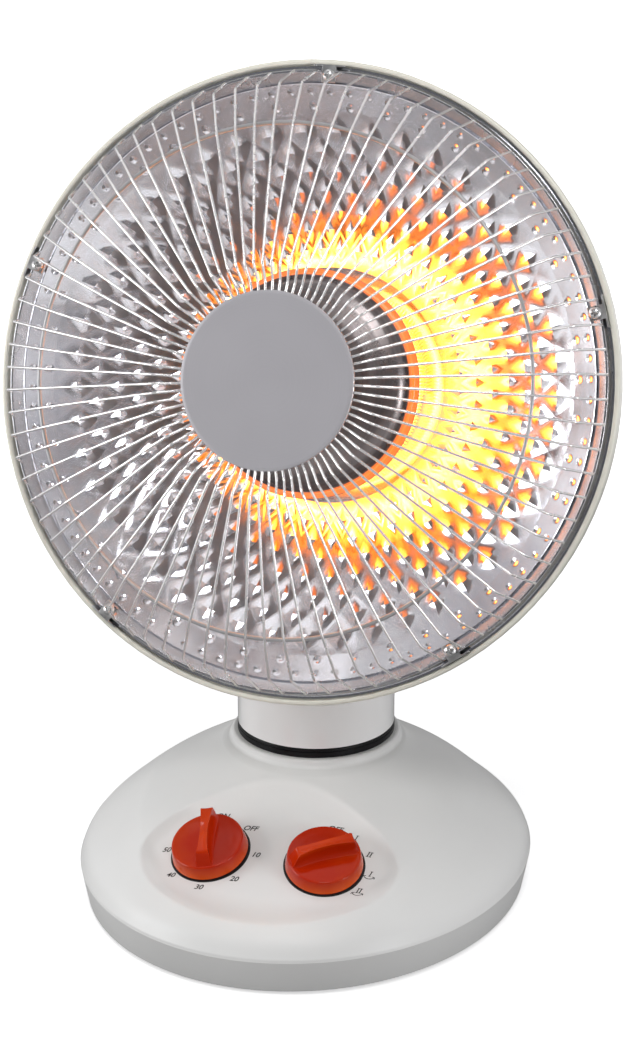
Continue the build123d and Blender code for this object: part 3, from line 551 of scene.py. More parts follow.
def add_piece(name, shells, place, body, slot, stands_for=(), crisp=40.0, finish=None):
    """Mesh of one or more shells, put in its place, in its slot's finish unless another is named."""
    points, faces = joined(shells)
    mesh = new_mesh(name, points @ place[:3, :3].T + place[:3, 3], faces, crisp)
    seat_piece(name, mesh, body, stands_for, finish or slot)


def smoothed_copy(node, name, body, slot, bevel):
    """A CAD node's copy with its doubles merged, smooth between crisp edges, which get a small bevel."""
    mesh = frame["nodes"][node].data.copy()
    mesh.name = name
    finish_mesh(mesh, copy_crisp, seam_gap)
    piece = seat_piece(name, mesh, body, (node,), slot)
    edge = piece.modifiers.new("edge", "BEVEL")
    edge.width = bevel * MM
    edge.segments = 2
    edge.limit_method = "ANGLE"
    edge.angle_limit = radians(copy_crisp)
    edge.harden_normals = False


# Materials: one Principled shader each, with its tone, roughness and relief from noise

def feed(tree, node, sockets):
    """Each named socket of a node is set to a value, or linked where it is given an output."""
    for name, value in sockets.items():
        if isinstance(value, bpy.types.NodeSocket):
            tree.links.new(value, node.inputs[name])
        else:
            node.inputs[name].default_value = value


def add_node(tree, kind, sockets):
    node = tree.nodes.new("ShaderNode" + kind)
    feed(tree, node, sockets)
    return node


def new_finish(name, metallic=0.0, roughness=0.4, coat=0.0, coat_roughness=0.1, specular=0.5):
    material = bpy.data.materials.new(name + "_finish")
    material.use_nodes = True
    tree = material.node_tree
    shader = tree.nodes["Principled BSDF"]
    feed(tree, shader, {"Metallic": metallic, "Roughness": roughness, "Coat Weight": coat,
                        "Coat Roughness": coat_roughness, "IOR": 1.45, "Specular IOR Level": specular})
    return tree, shader


def place_vector(tree, place=None):
    """Object coordinates, turned and centred on a piece's own place where one is given."""
    vector = tree.nodes.new("ShaderNodeTexCoord").outputs["Object"]
    if place is None:
        return vector
    inside = np.linalg.inv(place)
    inside[:3, 3] *= MM
    turn = Matrix(inside.tolist()).to_euler()
    mapping = add_node(tree, "Mapping", {"Rotation": turn, "Location": inside[:3, 3], "Vector": vector})
    return mapping.outputs["Vector"]


def noise(tree, vector, scale, detail=3.0, rough=0.5):
    sockets = {"Scale": scale, "Detail": detail, "Roughness": rough, "Vector": vector}
    return add_node(tree, "TexNoise", sockets).outputs["Fac"]


def ramp(tree, factor, stops):
    """Colour read along stops of (position, colour), a grey being given as one number."""
    node = add_node(tree, "ValToRGB", {"Fac": factor})
    while len(node.color_ramp.elements) < len(stops):
        node.color_ramp.elements.new(0.5)
    for element, (position, colour) in zip(node.color_ramp.elements, stops):
        element.position = position
        element.color = (*colour, 1.0) if isinstance(colour, tuple) else (colour, colour, colour, 1.0)
    return node.outputs["Color"]


def spread(tree, factor, low, high, from_low=0.3, from_high=0.7):
    """Factor carried from one range of values to another, and held at its ends."""
    sockets = {"From Min": from_low, "From Max": from_high, "To Min": low, "To Max": high, "Value": factor}
    return add_node(tree, "MapRange", sockets).outputs["Result"]


def calculated(tree, operation, a, b):
    node = add_node(tree, "Math", {0: a, 1: b})
    node.operation = operation
    return node.outputs["Value"]


def mixed(tree, share, a, b, blend="MIX"):
    node = tree.nodes.new("ShaderNodeMix")
    node.data_type = "RGBA"
    node.blend_type = blend
    feed(tree, node, {"Factor": share, "A": a, "B": b})
    return node.outputs["Result"]


def axes_of(tree, vector):
    return add_node(tree, "SeparateXYZ", {"Vector": vector}).outputs


def length_of(tree, vector):
    node = add_node(tree, "VectorMath", {0: vector})
    node.operation = "LENGTH"
    return node.outputs["Value"]


def axis_distance(tree, place):
    """Distance from the piece's own axis."""
    axes = axes_of(tree, place_vector(tree, place))
    flat = add_node(tree, "CombineXYZ", {"X": axes["X"], "Y": axes["Y"]})
    return length_of(tree, flat.outputs["Vector"])


def relief(tree, shader, height, depth):
    """Bump of the given depth in millimetres."""
    node = add_node(tree, "Bump", {"Distance": depth * MM, "Strength": 1.0, "Height": height})
    feed(tree, shader, {"Normal": node.outputs["Normal"]})


def tinted(tree, shader, factor, colour, contrast):
    """Base colour that drifts by a contrast, darker and lighter than the colour given."""
    low = tuple(c * (1 - contrast) for c in colour)
    high = tuple(min(1.0, c * (1 + contrast)) for c in colour)
    feed(tree, shader, {"Base Color": ramp(tree, factor, [(0.35, low), (0.65, high)])})


def worn(tree, shader, vector, rough, scale):
    """Roughness that drifts between two values."""
    feed(tree, shader, {"Roughness": spread(tree, noise(tree, vector, scale, 4), *rough)})


def plain_finish(name, colour, rough, contrast=0.04, scale=30.0, rough_scale=60.0, depth=0.01,
                 grain_scale=900.0, place=None, **options):
    """Drifting colour and roughness, with a fine grain of the given depth."""
    tree, shader = new_finish(name, **options)
    vector = place_vector(tree, place)
    tinted(tree, shader, noise(tree, vector, scale, 4), colour, contrast)
    worn(tree, shader, vector, rough, rough_scale)
    if depth:
        relief(tree, shader, noise(tree, vector, grain_scale, 2), depth)
    return tree, shader, vector


def spun_finish(name, colour, rough, place, contrast, ring_scale=1500.0, depth=0.004, metallic=1.0):
    """Metal brushed round its axis: noise read on the radius alone."""
    tree, shader = new_finish(name, metallic=metallic)
    rings = add_node(tree, "CombineXYZ", {"X": axis_distance(tree, place)})
    grooves = noise(tree, rings.outputs["Vector"], ring_scale, 3, 0.7)
    tinted(tree, shader, grooves, colour, contrast)
    worn(tree, shader, place_vector(tree, place), rough, 45.0)
    relief(tree, shader, grooves, depth)
    return tree, shader


def dial_finish_with_painted_light():
    """Glossy moulded orange with painted light in its colour: lighter towards the foot, as if light came
    through the plastic there, deepest round the top of the skirt and lighter again up at the grip's crown.
    """
    tree, shader = new_finish("dial_orange", specular=0.26)
    grain = place_vector(tree)
    worn(tree, shader, grain, (0.07, 0.13), 70.0)
    relief(tree, shader, noise(tree, grain, 500.0, 2), 0.006)
    vector = place_vector(tree, PANEL)
    drift = spread(tree, noise(tree, vector, 70.0, 3), -0.06, 0.06)
    # Painted light: the base colour is read on height above the panel, light orange near the foot and at the
    # grip's crown, deepest between
    rise = spread(tree, axes_of(tree, vector)["Z"], 0.0, 1.0, -0.001, 0.018)
    colour = ramp(tree, calculated(tree, "ADD", rise, drift),
                  [(0.0, (0.62, 0.075, 0.003)), (0.22, (0.50, 0.042, 0.002)), (0.42, (0.40, 0.016, 0.001)),
                   (0.70, (0.42, 0.018, 0.001)), (0.92, (0.56, 0.045, 0.002))])
    feed(tree, shader, {"Base Color": colour})


def cap_finish_with_painted_glow():
    """Dark spun metal with a painted glow: its turned-down wall and lip emit orange light, fading out at the
    lip's outer edge.
    """
    tree, shader = spun_finish("cap_dark", (0.21, 0.19, 0.19), (0.24, 0.34), HEAD, contrast=0.16,
                               ring_scale=1100.0)
    # Painted glow: emission set by distance from the head's axis lights the cap's wall and lip orange
    glow = (1.0, 0.19, 0.014)
    out = spread(tree, axis_distance(tree, HEAD), 0.0, 1.0, 0.050, 0.060)
    edge = ramp(tree, out, [(0.39, 0.0), (0.44, glow), (0.70, glow), (0.76, (0.06, 0.01, 0.0))])
    feed(tree, shader, {"Emission Color": edge, "Emission Strength": 1.15})


def fired_finish(name, colour, rough):
    """Dull grainy surface of the element under its glow."""
    return plain_finish(name, colour, rough, contrast=0.06, scale=60.0, rough_scale=80.0, depth=0.03,
                        grain_scale=700.0, place=HEAD)


def ceramic_finish():
    """Fired former, red-hot in uneven patches."""
    tree, shader, vector = fired_finish("element_ceramic", (0.85, 0.70, 0.58), (0.5, 0.7))
    glow = (1.0, 0.14, 0.007)
    heat = ramp(tree, noise(tree, vector, 60.0, 3), [(0.3, tuple(c * 0.75 for c in glow)), (0.7, glow)])
    feed(tree, shader, {"Emission Color": heat, "Emission Strength": 2.0})


def hot_wire_finish():
    """Wire that is white-hot half way along the core and falls to a dull orange at both ends."""
    tree, shader, vector = fired_finish("element_wire", (0.5, 0.3, 0.2), (0.4, 0.6))
    along = spread(tree, axes_of(tree, vector)["Z"], 0.0, 1.0, -0.044, -0.010)
    end, dull, bright = (0.35, 0.06, 0.002), (0.65, 0.18, 0.008), (1.0, 0.46, 0.05)
    heat = ramp(tree, along, [(0.0, end), (0.24, dull), (0.40, bright), (0.50, (1.0, 0.62, 0.26)),
                              (0.60, bright), (0.78, dull), (1.0, end)])
    feed(tree, shader, {"Emission Color": heat, "Emission Strength": 8.0})


plain_finish("housing_white", (0.71, 0.71, 0.70), (0.34, 0.46), contrast=0.02, scale=14.0, rough_scale=25.0,
             depth=0.012, grain_scale=1400.0, specular=0.45)
plain_finish("neck_white", (0.93, 0.92, 0.915), (0.08, 0.14), contrast=0.015, scale=18.0, rough_scale=40.0,
             depth=0.006, grain_scale=300.0, coat=0.9, coat_roughness=0.05)
plain_finish("shell_cream", (0.80, 0.78, 0.69), (0.24, 0.36), contrast=0.025, scale=20.0, rough_scale=35.0,
             depth=0.012, grain_scale=420.0, coat=0.3, coat_roughness=0.15)
plain_finish("seal_black", (0.008, 0.008, 0.009), (0.30, 0.42), contrast=0.3, scale=120.0, rough_scale=90.0,
             specular=0.2)
plain_finish("legend_ink", (0.012, 0.012, 0.012), (0.5, 0.6), contrast=0.2, scale=400.0, depth=0.0)
plain_finish("reflector_polished", (0.78, 0.79, 0.84), (0.09, 0.16), scale=60.0, rough_scale=90.0,
             depth=0.012, grain_scale=260.0, place=HEAD, metallic=0.98)
plain_finish("band_polished", (0.60, 0.60, 0.63), (0.20, 0.30), contrast=0.05, scale=70.0, depth=0.008,
             grain_scale=220.0, place=HEAD, metallic=1.0)
plain_finish("guard_chrome", (0.83, 0.82, 0.82), (0.20, 0.30), scale=90.0, rough_scale=120.0, depth=0.006,
             place=HEAD, metallic=0.75)
plain_finish("hoop_grey", (0.42, 0.42, 0.43), (0.28, 0.38), contrast=0.06, scale=90.0, depth=0.006,
             place=HEAD, metallic=0.5)
plain_finish("clamp_steel", (0.60, 0.60, 0.60), (0.25, 0.38), contrast=0.08, scale=200.0, rough_scale=200.0,
             grain_scale=1200.0, metallic=1.0)
plain_finish("steel_zinc", (0.62, 0.62, 0.60), (0.28, 0.42), contrast=0.07, scale=120.0, rough_scale=150.0,
             metallic=1.0)
plain_finish("terminal_brass", (0.78, 0.58, 0.28), (0.25, 0.38), contrast=0.07, scale=150.0, metallic=1.0)
plain_finish("rubber_black", (0.02, 0.02, 0.02), (0.55, 0.7), contrast=0.25, scale=80.0, depth=0.03,
             grain_scale=700.0)
plain_finish("plate_dark", (0.07, 0.07, 0.075), (0.45, 0.6), contrast=0.12, scale=40.0, depth=0.03)
plain_finish("ballast_iron", (0.12, 0.12, 0.12), (0.55, 0.75), contrast=0.25, scale=60.0, depth=0.12,
             grain_scale=240.0, metallic=0.6)
plain_finish("inner_plastic", (0.72, 0.70, 0.64), (0.4, 0.5), scale=50.0, depth=0.015)
plain_finish("switch_plastic", (0.16, 0.14, 0.12), (0.4, 0.55), contrast=0.12, scale=80.0, depth=0.02)
spun_finish("disc_silver", (0.432, 0.421, 0.446), (0.42, 0.48), HEAD @ moved(0, 0, disc_bottom),
            contrast=0.02, depth=0.0015, metallic=0.3)
dial_finish_with_painted_light()
cap_finish_with_painted_glow()
ceramic_finish()
hot_wire_finish()

for row in frame["record"]["subparts"]:
    node_mesh = frame["nodes"][row["node"]].data
    node_mesh.materials.clear()
    node_mesh.materials.append(finish_of(row["material_slot"]))


# Base cover: an oval dome, sunk along the panel's normal where the recess is

def smooth_min(a, b, soft):
    """The lower of two heights, with a round of the given size where they cross."""
    overlap = np.clip(soft - np.abs(a - b), 0, None)
    return np.minimum(a, b) - overlap ** 2 / (4 * soft)


def recess_height(x, y, deeper):
    """Height of the recess's surface over the panel: a crowned floor in a wall of rising ovals, whose
    height at a point is found by halving."""
    widen = tan(radians(panel_flare))
    low = np.full_like(x, recess_lowest)
    high = np.full_like(x, recess_highest)
    for _ in range(recess_halvings):
        n = (low + high) / 2
        wide = np.maximum(panel_half_width + deeper + widen * n, smallest_oval)
        tall = np.maximum(panel_half_height + deeper + widen * n, smallest_oval)
        outside = (x / wide) ** 2 + ((y - panel_rise) / tall) ** 2 > 1
        low = np.where(outside, n, low)
        high = np.where(outside, high, n)
    crown = panel_crown_radius
    floor = np.sqrt(np.maximum(crown ** 2 - x ** 2, 0)) - crown - deeper
    to_end = np.clip((np.abs(x) - recess_end_start) / recess_end_run, 0, 1)
    return -smooth_min(-high, -floor, recess_round + recess_end_round * to_end ** 2)


def sunk(points, deeper):
    """Points above the recess's surface brought down to it along the panel's normal, with a soft brow."""
    local = (points - PANEL[:3, 3]) @ PANEL[:3, :3]
    h = local[..., 2]
    wanted = smooth_min(h, recess_height(local[..., 0], local[..., 1], deeper), recess_brow_round)
    near = (points[..., 1] < 0)[..., None]
    return np.where(near, points + (wanted - h)[..., None] * PANEL[:3, 2], points)


def folded(points):
    """Surface outside the panel's long oval line falls away a little and leaves the line as a fine fold."""
    x, y = points[..., 0], points[..., 1]
    away = np.sqrt((x / panel_line_width) ** 2 + (y / panel_line_depth) ** 2) - 1
    outwards = 1 - np.exp(-np.clip(away, 0, None) * panel_line_width / panel_line_run)
    fall = panel_line_fall * outwards * np.clip((panel_line_end - y) / panel_line_end_run, 0, 1)
    return points - np.stack([0 * fall, 0 * fall, fall], -1)


def base_cover():
    """Closed shell: rings of ovals up the outside, over the collar, and down the inside again. The
    columns crowd towards the front, where the recess is."""
    s = np.linspace(-1, 1, cover_columns, endpoint=False)
    crowded = cover_even_share * s + (1 - cover_even_share) * s * np.abs(s) ** cover_crowding
    angle = -pi / 2 + pi * crowded
    c, d = np.cos(angle), np.sin(angle)
    ahead = np.clip(-d, 0, 1) ** dome_front_blend

    def oval(half_width, half_depth, middle, z):
        flat = [np.asarray(v, float) for v in (half_width, half_depth, middle, z)]
        wide, deep, middle, z = (v[:, None] if v.ndim == 1 else v for v in flat)
        return np.stack([cover_fit_share * wide * c, middle + cover_fit_share * deep * d, z + 0 * c], -1)

    def spread_at(t):
        side = spline(dome_height_shares, dome_side_shares, t)[:, None]
        front = spline(dome_height_shares, dome_front_shares, t)[:, None]
        return side + (front - side) * ahead

    def dome(shrink, drop, rows):
        """Rings at even steps along the dome's side line, from the fold up to the collar."""
        t = np.linspace(dome_height_shares[0], 1, dome_samples)
        rise = collar_height - drop - crease_height
        run = (base_half_depth - collar_radius) * spline(dome_height_shares, dome_side_shares, t)
        length = np.concatenate([[0], np.cumsum(np.hypot(np.diff(run), np.diff(t) * rise))])
        t = np.interp(np.linspace(0, length[-1], rows), length, t)
        shift = spline(dome_height_shares, dome_shift_shares, t) * neck_back
        wide = collar_radius - shrink + spread_at(t) * (base_half_width - collar_radius)
        deep = collar_radius - shrink + spread_at(t) * (base_half_depth - collar_radius)
        return oval(wide, deep, shift, crease_height + t * rise)

    foot = eased([(cover_wall, fold_height - fold_inside_drop), (base_foot_inset + cover_wall, skirt_lift),
                  (base_foot_inset, skirt_lift), (0.0, fold_height), (fold_inset, fold_height + fold_rise)],
                 skirt_rounds, steps=5)[1:-1]
    skirt = oval(base_half_width - foot[:, 0], base_half_depth - foot[:, 0], 0 * foot[:, 0], foot[:, 1])
    outside = dome(0.0, 0.0, dome_rows)[dome_fold_rows:]
    outside = folded(sunk(outside[outside[:, 0, 2] < collar_height - dome_top_drop], 0.0))
    ledge = collar_height - cover_top_wall
    top = eased([(collar_radius + collar_sweep, collar_height - collar_sweep_drop),
                 (collar_radius + collar_root, collar_height - collar_root_drop),
                 (collar_radius + collar_swell, collar_height), (bush_hole_radius, collar_height),
                 (bush_hole_radius, ledge), (collar_radius - collar_ledge, ledge)],
                collar_rounds, steps=6)[1:-1]
    collar = oval(top[:, 0], top[:, 0], neck_back + 0 * top[:, 0], top[:, 1])
    inside = sunk(dome(cover_wall, cover_top_wall, dome_inside_rows)[::-1], cover_wall)
    grid = np.concatenate([skirt, outside, collar, inside])
    return grid, weave(len(grid), cover_columns, loop_rows=True)


add_piece("base_housing", [base_cover()], ROW, "base", "housing_white", ("base_cover",), crisp=50)


# Dials

def dial_skirt():
    """Low round knob, turned: slightly tapered side, eased rim, faintly dished top."""
    top = dial_gap + dial_height
    line = [(0, dial_gap), (dial_foot_radius, dial_gap), (dial_top_radius, top),
            (dial_top_radius - dial_dish_inset, top - dial_dish), (0, top)]
    return lathe(eased(line, dial_rounds, steps=8), count=128)


def dial_grip():
    """Tall waisted bar: along an arched ridge with sloping ends, each station has steep sides that
    turn out at their foot, narrow edges and a slightly hollow top."""
    top = dial_gap + dial_height
    line = [(-grip_tail, top - grip_tail_sink), (grip_tail_slope - grip_tail, top + grip_tail_rise),
            (grip_crown_place, top + grip_crown_rise), (grip_tip - grip_tip_slope, top + grip_tip_rise),
            (grip_tip, top - grip_tip_sink)]
    ridge = eased(line, grip_rounds, steps=12)
    run = np.concatenate([[0], np.cumsum(np.hypot(*np.diff(ridge, axis=0).T))])
    at = np.linspace(0, run[-1], grip_rows)
    y, crown = np.interp(at, run, ridge[:, 0]), np.interp(at, run, ridge[:, 1])
    half = spline(grip_stations, grip_half_widths, y)[:, None]
    base = top - grip_tail_sink + 0 * crown[:, None]
    tall = crown[:, None] - base
    dips = np.array(grip_lid_dips)
    u = np.arange(grip_side_steps) / grip_side_steps
    flare = grip_foot_flare * np.minimum(tall / grip_flare_height, 1) * (1 - u) ** 4
    side_x = half + flare + grip_draft * (1 - u)
    side_z = base + (tall - dips[0] * np.minimum(tall, 1)) * u
    lid_x = half * np.array(grip_lid_shares)
    lid_z = crown[:, None] - dips * np.minimum(tall, 1)
    x = np.concatenate([side_x, lid_x, -lid_x[:, -2::-1], -side_x[:, ::-1]], 1)
    z = np.concatenate([side_z, lid_z, lid_z[:, -2::-1], side_z[:, ::-1]], 1)
    grid = np.stack([x, y[:, None] + 0 * x, z], -1)
    centre = grid.mean(1, keepdims=True)
    grid = np.concatenate([centre[:1] + 0 * grid[:1], grid, centre[-1:] + 0 * grid[-1:]])
    return grid, weave(len(grid), grid.shape[1])


for side, reading, what in ((-1, timer_reading, "timer"), (1, mode_reading, "mode")):
    seat = dial_place(side) @ turned(-reading)
    add_piece(what + "_knob", [dial_skirt(), dial_grip()], seat, what + "_control", "dial_orange",
              (what + "_dial",), crisp=38)


# Legends round the dials: generic figures, ON and OFF, steps I and II, and a swing sign

def stroke(x0, y0, x1, y1, width):
    """Flat bar between two points, as a thin closed box."""
    a, b = np.array([x0, y0]), np.array([x1, y1])
    across = unit(np.array([a[1] - b[1], b[0] - a[0]])) * width / 2
    flat = np.array([a + across, a - across, b - across, b + across])
    points = np.vstack([np.column_stack([flat, np.zeros(4)]), np.column_stack([flat, np.ones(4)])])
    faces = np.array([[0, 1, 2, 3], [7, 6, 5, 4], [0, 4, 5, 1], [1, 5, 6, 2], [2, 6, 7, 3], [3, 7, 4, 0]])
    return points, faces


def numeral(count):
    """Roman I or II: upright stems with serif bars."""
    parts = []
    for k in range(count):
        x = numeral_pitch * (k - (count - 1) / 2)
        parts.append(stroke(x, -numeral_half_height, x, numeral_half_height, stem_width))
        for y in (numeral_half_height, -numeral_half_height):
            parts.append(stroke(x - serif_half_length, y, x + serif_half_length, y, serif_width))
    return parts


def swing_sign():
    """Curved double arrow under a numeral."""
    t = np.radians(np.linspace(swing_arc_from, swing_arc_to, 13))
    arc = np.column_stack([swing_arc_radius * np.cos(t), swing_arc_radius * np.sin(t) - swing_arc_drop])
    parts = [stroke(*start, *end, swing_line_width) for start, end in zip(arc[:-1], arc[1:])]
    for (x, y), outwards in ((arc[0], -1), (arc[-1], 1)):
        parts += [stroke(x, y, x + outwards * along, y + up, swing_line_width) for along, up in swing_barbs]
    return parts


def lettering(text):
    """Points and faces of a word in the built-in face, centred, in millimetres, one thick."""
    curve = bpy.data.curves.new("word", "FONT")
    curve.body = text
    curve.size = legend_size
    curve.align_x, curve.align_y = "CENTER", "CENTER"
    curve.shear = 0.28
    curve.extrude = 0.5
    curve.offset = 0.06
    curve.resolution_u = 4
    carrier = bpy.data.objects.new("word", curve)
    mesh = bpy.data.meshes.new_from_object(carrier)
    points = np.empty(len(mesh.vertices) * 3)
    mesh.vertices.foreach_get("co", points)
    points = points.reshape(-1, 3)
    points[:, 2] = (points[:, 2] > 0)
    faces = [tuple(p.vertices) for p in mesh.polygons]
    bpy.data.objects.remove(carrier)
    bpy.data.curves.remove(curve)
    bpy.data.meshes.remove(mesh)
    return points, faces


def legend(name, side, angle, text=None, strokes=()):
    """One legend laid on the crowned floor, a twentieth of a millimetre thick; drawn ones get the slant."""
    if text:
        points, faces = lettering(text)
    else:
        points, faces = joined(strokes)
        points[:, 0] += legend_slant * points[:, 1]
    x = points[:, 0] + side * dial_spacing / 2 + legend_radius * sin(radians(angle))
    y = points[:, 1] + legend_radius * cos(radians(angle))
    height = recess_height(x, y, 0.0) + legend_lift + legend_thick * points[:, 2]
    points = np.column_stack([x, y, height]) @ PANEL[:3, :3].T + PANEL[:3, 3]
    mesh = new_mesh(name, points, faces, legend_crisp, legend_seam_gap)
    seat_piece(name, mesh, "base", (), "legend_ink")


for step, word in enumerate(("ON", "OFF", "10", "20", "30", "40", "50", "60")):
    legend("timer_legend_" + word, -1, timer_mark_step * step, text=word)
legend("mode_legend_OFF", 1, 0.0, text="OFF")
mode_marks = {"I": numeral(1), "II": numeral(2), "I_swing": numeral(1) + swing_sign(),
              "II_swing": numeral(2) + swing_sign()}
for step, mark in enumerate(mode_marks, 1):
    legend("mode_legend_" + mark, 1, mode_mark_step * step, strokes=mode_marks[mark])


def dial_painted_shadow_ring(side):
    """Dark flat ring round a dial's foot, on the crowned floor: a painted shadow where the gap under the foot
    is dark.
    """
    outer = dial_foot_radius + shadow_ring_width
    r = np.array([shadow_ring_inner_radius, outer, outer, shadow_ring_inner_radius])[:, None]
    t = round_steps(120)[None, :]
    x, y = side * dial_spacing / 2 + r * np.cos(t), r * np.sin(t)
    lift = np.array([shadow_ring_low, shadow_ring_low, shadow_ring_high, shadow_ring_high])[:, None]
    return np.stack([x, y, recess_height(x, y, 0.0) + lift], -1), weave(4, 120, loop_rows=True)


# A painted shadow ring under each dial, in the ink's finish
for side, what in ((-1, "timer"), (1, "mode")):
    add_piece(what + "_painted_shadow_ring", [dial_painted_shadow_ring(side)], PANEL, "base", "seal_black", finish="legend_ink")


# Seal ring and neck

def seal_ring():
    """Ring with a narrow groove half way up its outside."""
    low, high, out = collar_height, collar_height + seal_height, seal_radius
    deep = out - seal_groove_depth
    groove = [low + seal_groove_rise + k * seal_groove_step for k in range(4)]
    line = [(seal_inner_radius, low), (out, low), (out, groove[0]), (deep, groove[1]), (deep, groove[2]),
            (out, groove[3]), (out, high), (seal_inner_radius, high)]
    return lathe(eased(line, seal_rounds, steps=4, closed=True), count=180)


add_piece("seal", [seal_ring()], moved(0, neck_back, 0), "base", "seal_black", ("seal_ring",))
smoothed_copy("neck_column", "neck", "neck", "neck_white", bevel=0.8)


# Rear shell: a bowl with radial vent slots

def bowl_arc():
    """Circle through the side, the belly and the edge of the flat back: centre and radius."""
    p = np.array([(shell_radius - shell_band_taper, shell_front - shell_band_depth),
                  (belly_radius, -belly_depth), (shell_back_radius, -shell_back_depth)])
    system = 2 * (p[1:] - p[0])
    centre = np.linalg.solve(system, (p[1:] ** 2).sum(1) - (p[0] ** 2).sum())
    return centre, np.linalg.norm(p[0] - centre)


def bowl_profile(r):
    """Closed line of the bowl: out along the back at the radii given, up the side, round the rim and
    the lip, and back on the inside."""
    centre, radius = bowl_arc()

    def back(wall):
        on_arc = centre[1] - np.sqrt(np.maximum((radius - wall) ** 2 - (r - centre[0]) ** 2, 0))
        flat = wall - shell_back_depth
        edge = shell_back_edge * np.exp(-((r - shell_back_radius) / shell_back_edge_width) ** 2)
        return np.column_stack([r, np.maximum(np.where(r < shell_back_radius, flat, on_arc), flat) + edge])

    outer, inner = back(0.0), back(shell_wall)
    x, y = outer[-1] - centre
    start = np.arctan2(y, x)
    end = np.arctan2(shell_front - shell_band_depth - centre[1], shell_radius - shell_band_taper - centre[0])
    turn = start + (end - start) * np.linspace(0, 1, 9)[1:]
    way = np.column_stack([np.cos(turn), np.sin(turn)])
    arc_out, arc_in = centre + radius * way, centre + (radius - shell_wall) * way
    groove = shell_radius - shell_bead
    lip = groove - groove_width - shell_lip_width
    lip_back = shell_lip_front - shell_wall
    rim = eased([arc_out[-1], (shell_radius, shell_front - shell_bead_depth), (shell_radius, shell_front),
                 (groove, shell_front), (groove, shell_lip_front), (lip, shell_lip_front), (lip, lip_back),
                 (groove, lip_back), arc_in[-1]], shell_rim_rounds, steps=5)[1:-1]
    return np.concatenate([outer, arc_out, rim, arc_in[::-1], inner[::-1]]) * [shell_fit_share, 1.0]


def rear_shell():
    """Revolved bowl whose columns part at each slot; faces in a slot are left out and its walls added."""
    slot_in, slot_out = slot_ring_radius - slot_length / 2, slot_ring_radius + slot_length / 2
    r = np.concatenate([shell_back_rings, np.linspace(shell_slot_approach, slot_in, 8),
                        np.linspace(slot_in, slot_out, 7)[1:],
                        np.linspace(slot_out, shell_flank_radius, 16)[1:]])
    profile = bowl_profile(r)
    sector = pi / slot_count
    half_slot = np.arcsin(slot_width / 2 / np.clip(profile[:, 0], slot_in, slot_out))
    edges = [-1, -slot_edge_share, slot_edge_share, 1]
    bent = np.array([np.interp(slot_column_shares, edges, [-sector, -h, h, sector]) for h in half_slot])
    middles = 2 * sector * (np.arange(slot_count) + 0.5)
    angle = (middles[None, :, None] + bent[:, None, :]).reshape(len(profile), -1)
    grid = polar(profile[:, 0, None], angle, profile[:, 1, None])
    rows, cols = angle.shape
    first, last = (int(np.argmin(np.abs(r - end))) for end in (slot_in, slot_out))
    column = np.arange(cols) % len(slot_column_shares)
    opening = slot_column_shares.index(-slot_edge_share)
    in_slot = (column == opening) | (column == opening + 1)
    keep = np.ones((rows - 1, cols), bool)
    keep[first:last, in_slot] = False
    keep[rows - 1 - last:rows - 1 - first, in_slot] = False
    walls = []
    run = np.arange(first, last)
    for k in np.nonzero(column == opening)[0]:
        for edge in (k, (k + 2) % cols):
            walls.append(np.stack([run * cols + edge, (run + 1) * cols + edge, (rows - 2 - run) * cols + edge,
                                   (rows - 1 - run) * cols + edge], -1))
        span = np.array([k, (k + 1) % cols])
        beyond = (span + 1) % cols
        for row in (first, last):
            walls.append(np.stack([row * cols + span, row * cols + beyond, (rows - 1 - row) * cols + beyond,
                                   (rows - 1 - row) * cols + span], -1))
    return grid, np.vstack([weave(rows, cols).reshape(rows - 1, cols, 4)[keep]] + walls)


add_piece("bowl", [rear_shell()], HEAD, "head", "shell_cream", ("rear_shell",))


# Reflector: a paraboloid with rows of pressed pyramids, and a plain edge band with small pits

def dish_height(r):
    """Height of the dish over a radius: it rises with the radius squared, from the middle to the edge."""
    return -dish_depth + (dish_depth - dish_edge_drop) * (r / dish_edge) ** 2


def facet_corners():
    """Lattice of rings; pyramid tips and the corners between them take turns round each ring."""
    row = np.arange(facet_rows + 1)[:, None]
    k = np.arange(2 * facet_count)[None, :]
    r = facet_outer - row * (facet_outer - dish_floor_radius) / facet_rows + 0 * k
    tip = ((k + row) % 2 == 1) & (row > 0) & (row < facet_rows)
    height = dish_height(r) + facet_relief * r / facet_outer * tip
    return polar(r, np.radians(90.0 + 180.0 / facet_count * k), height)


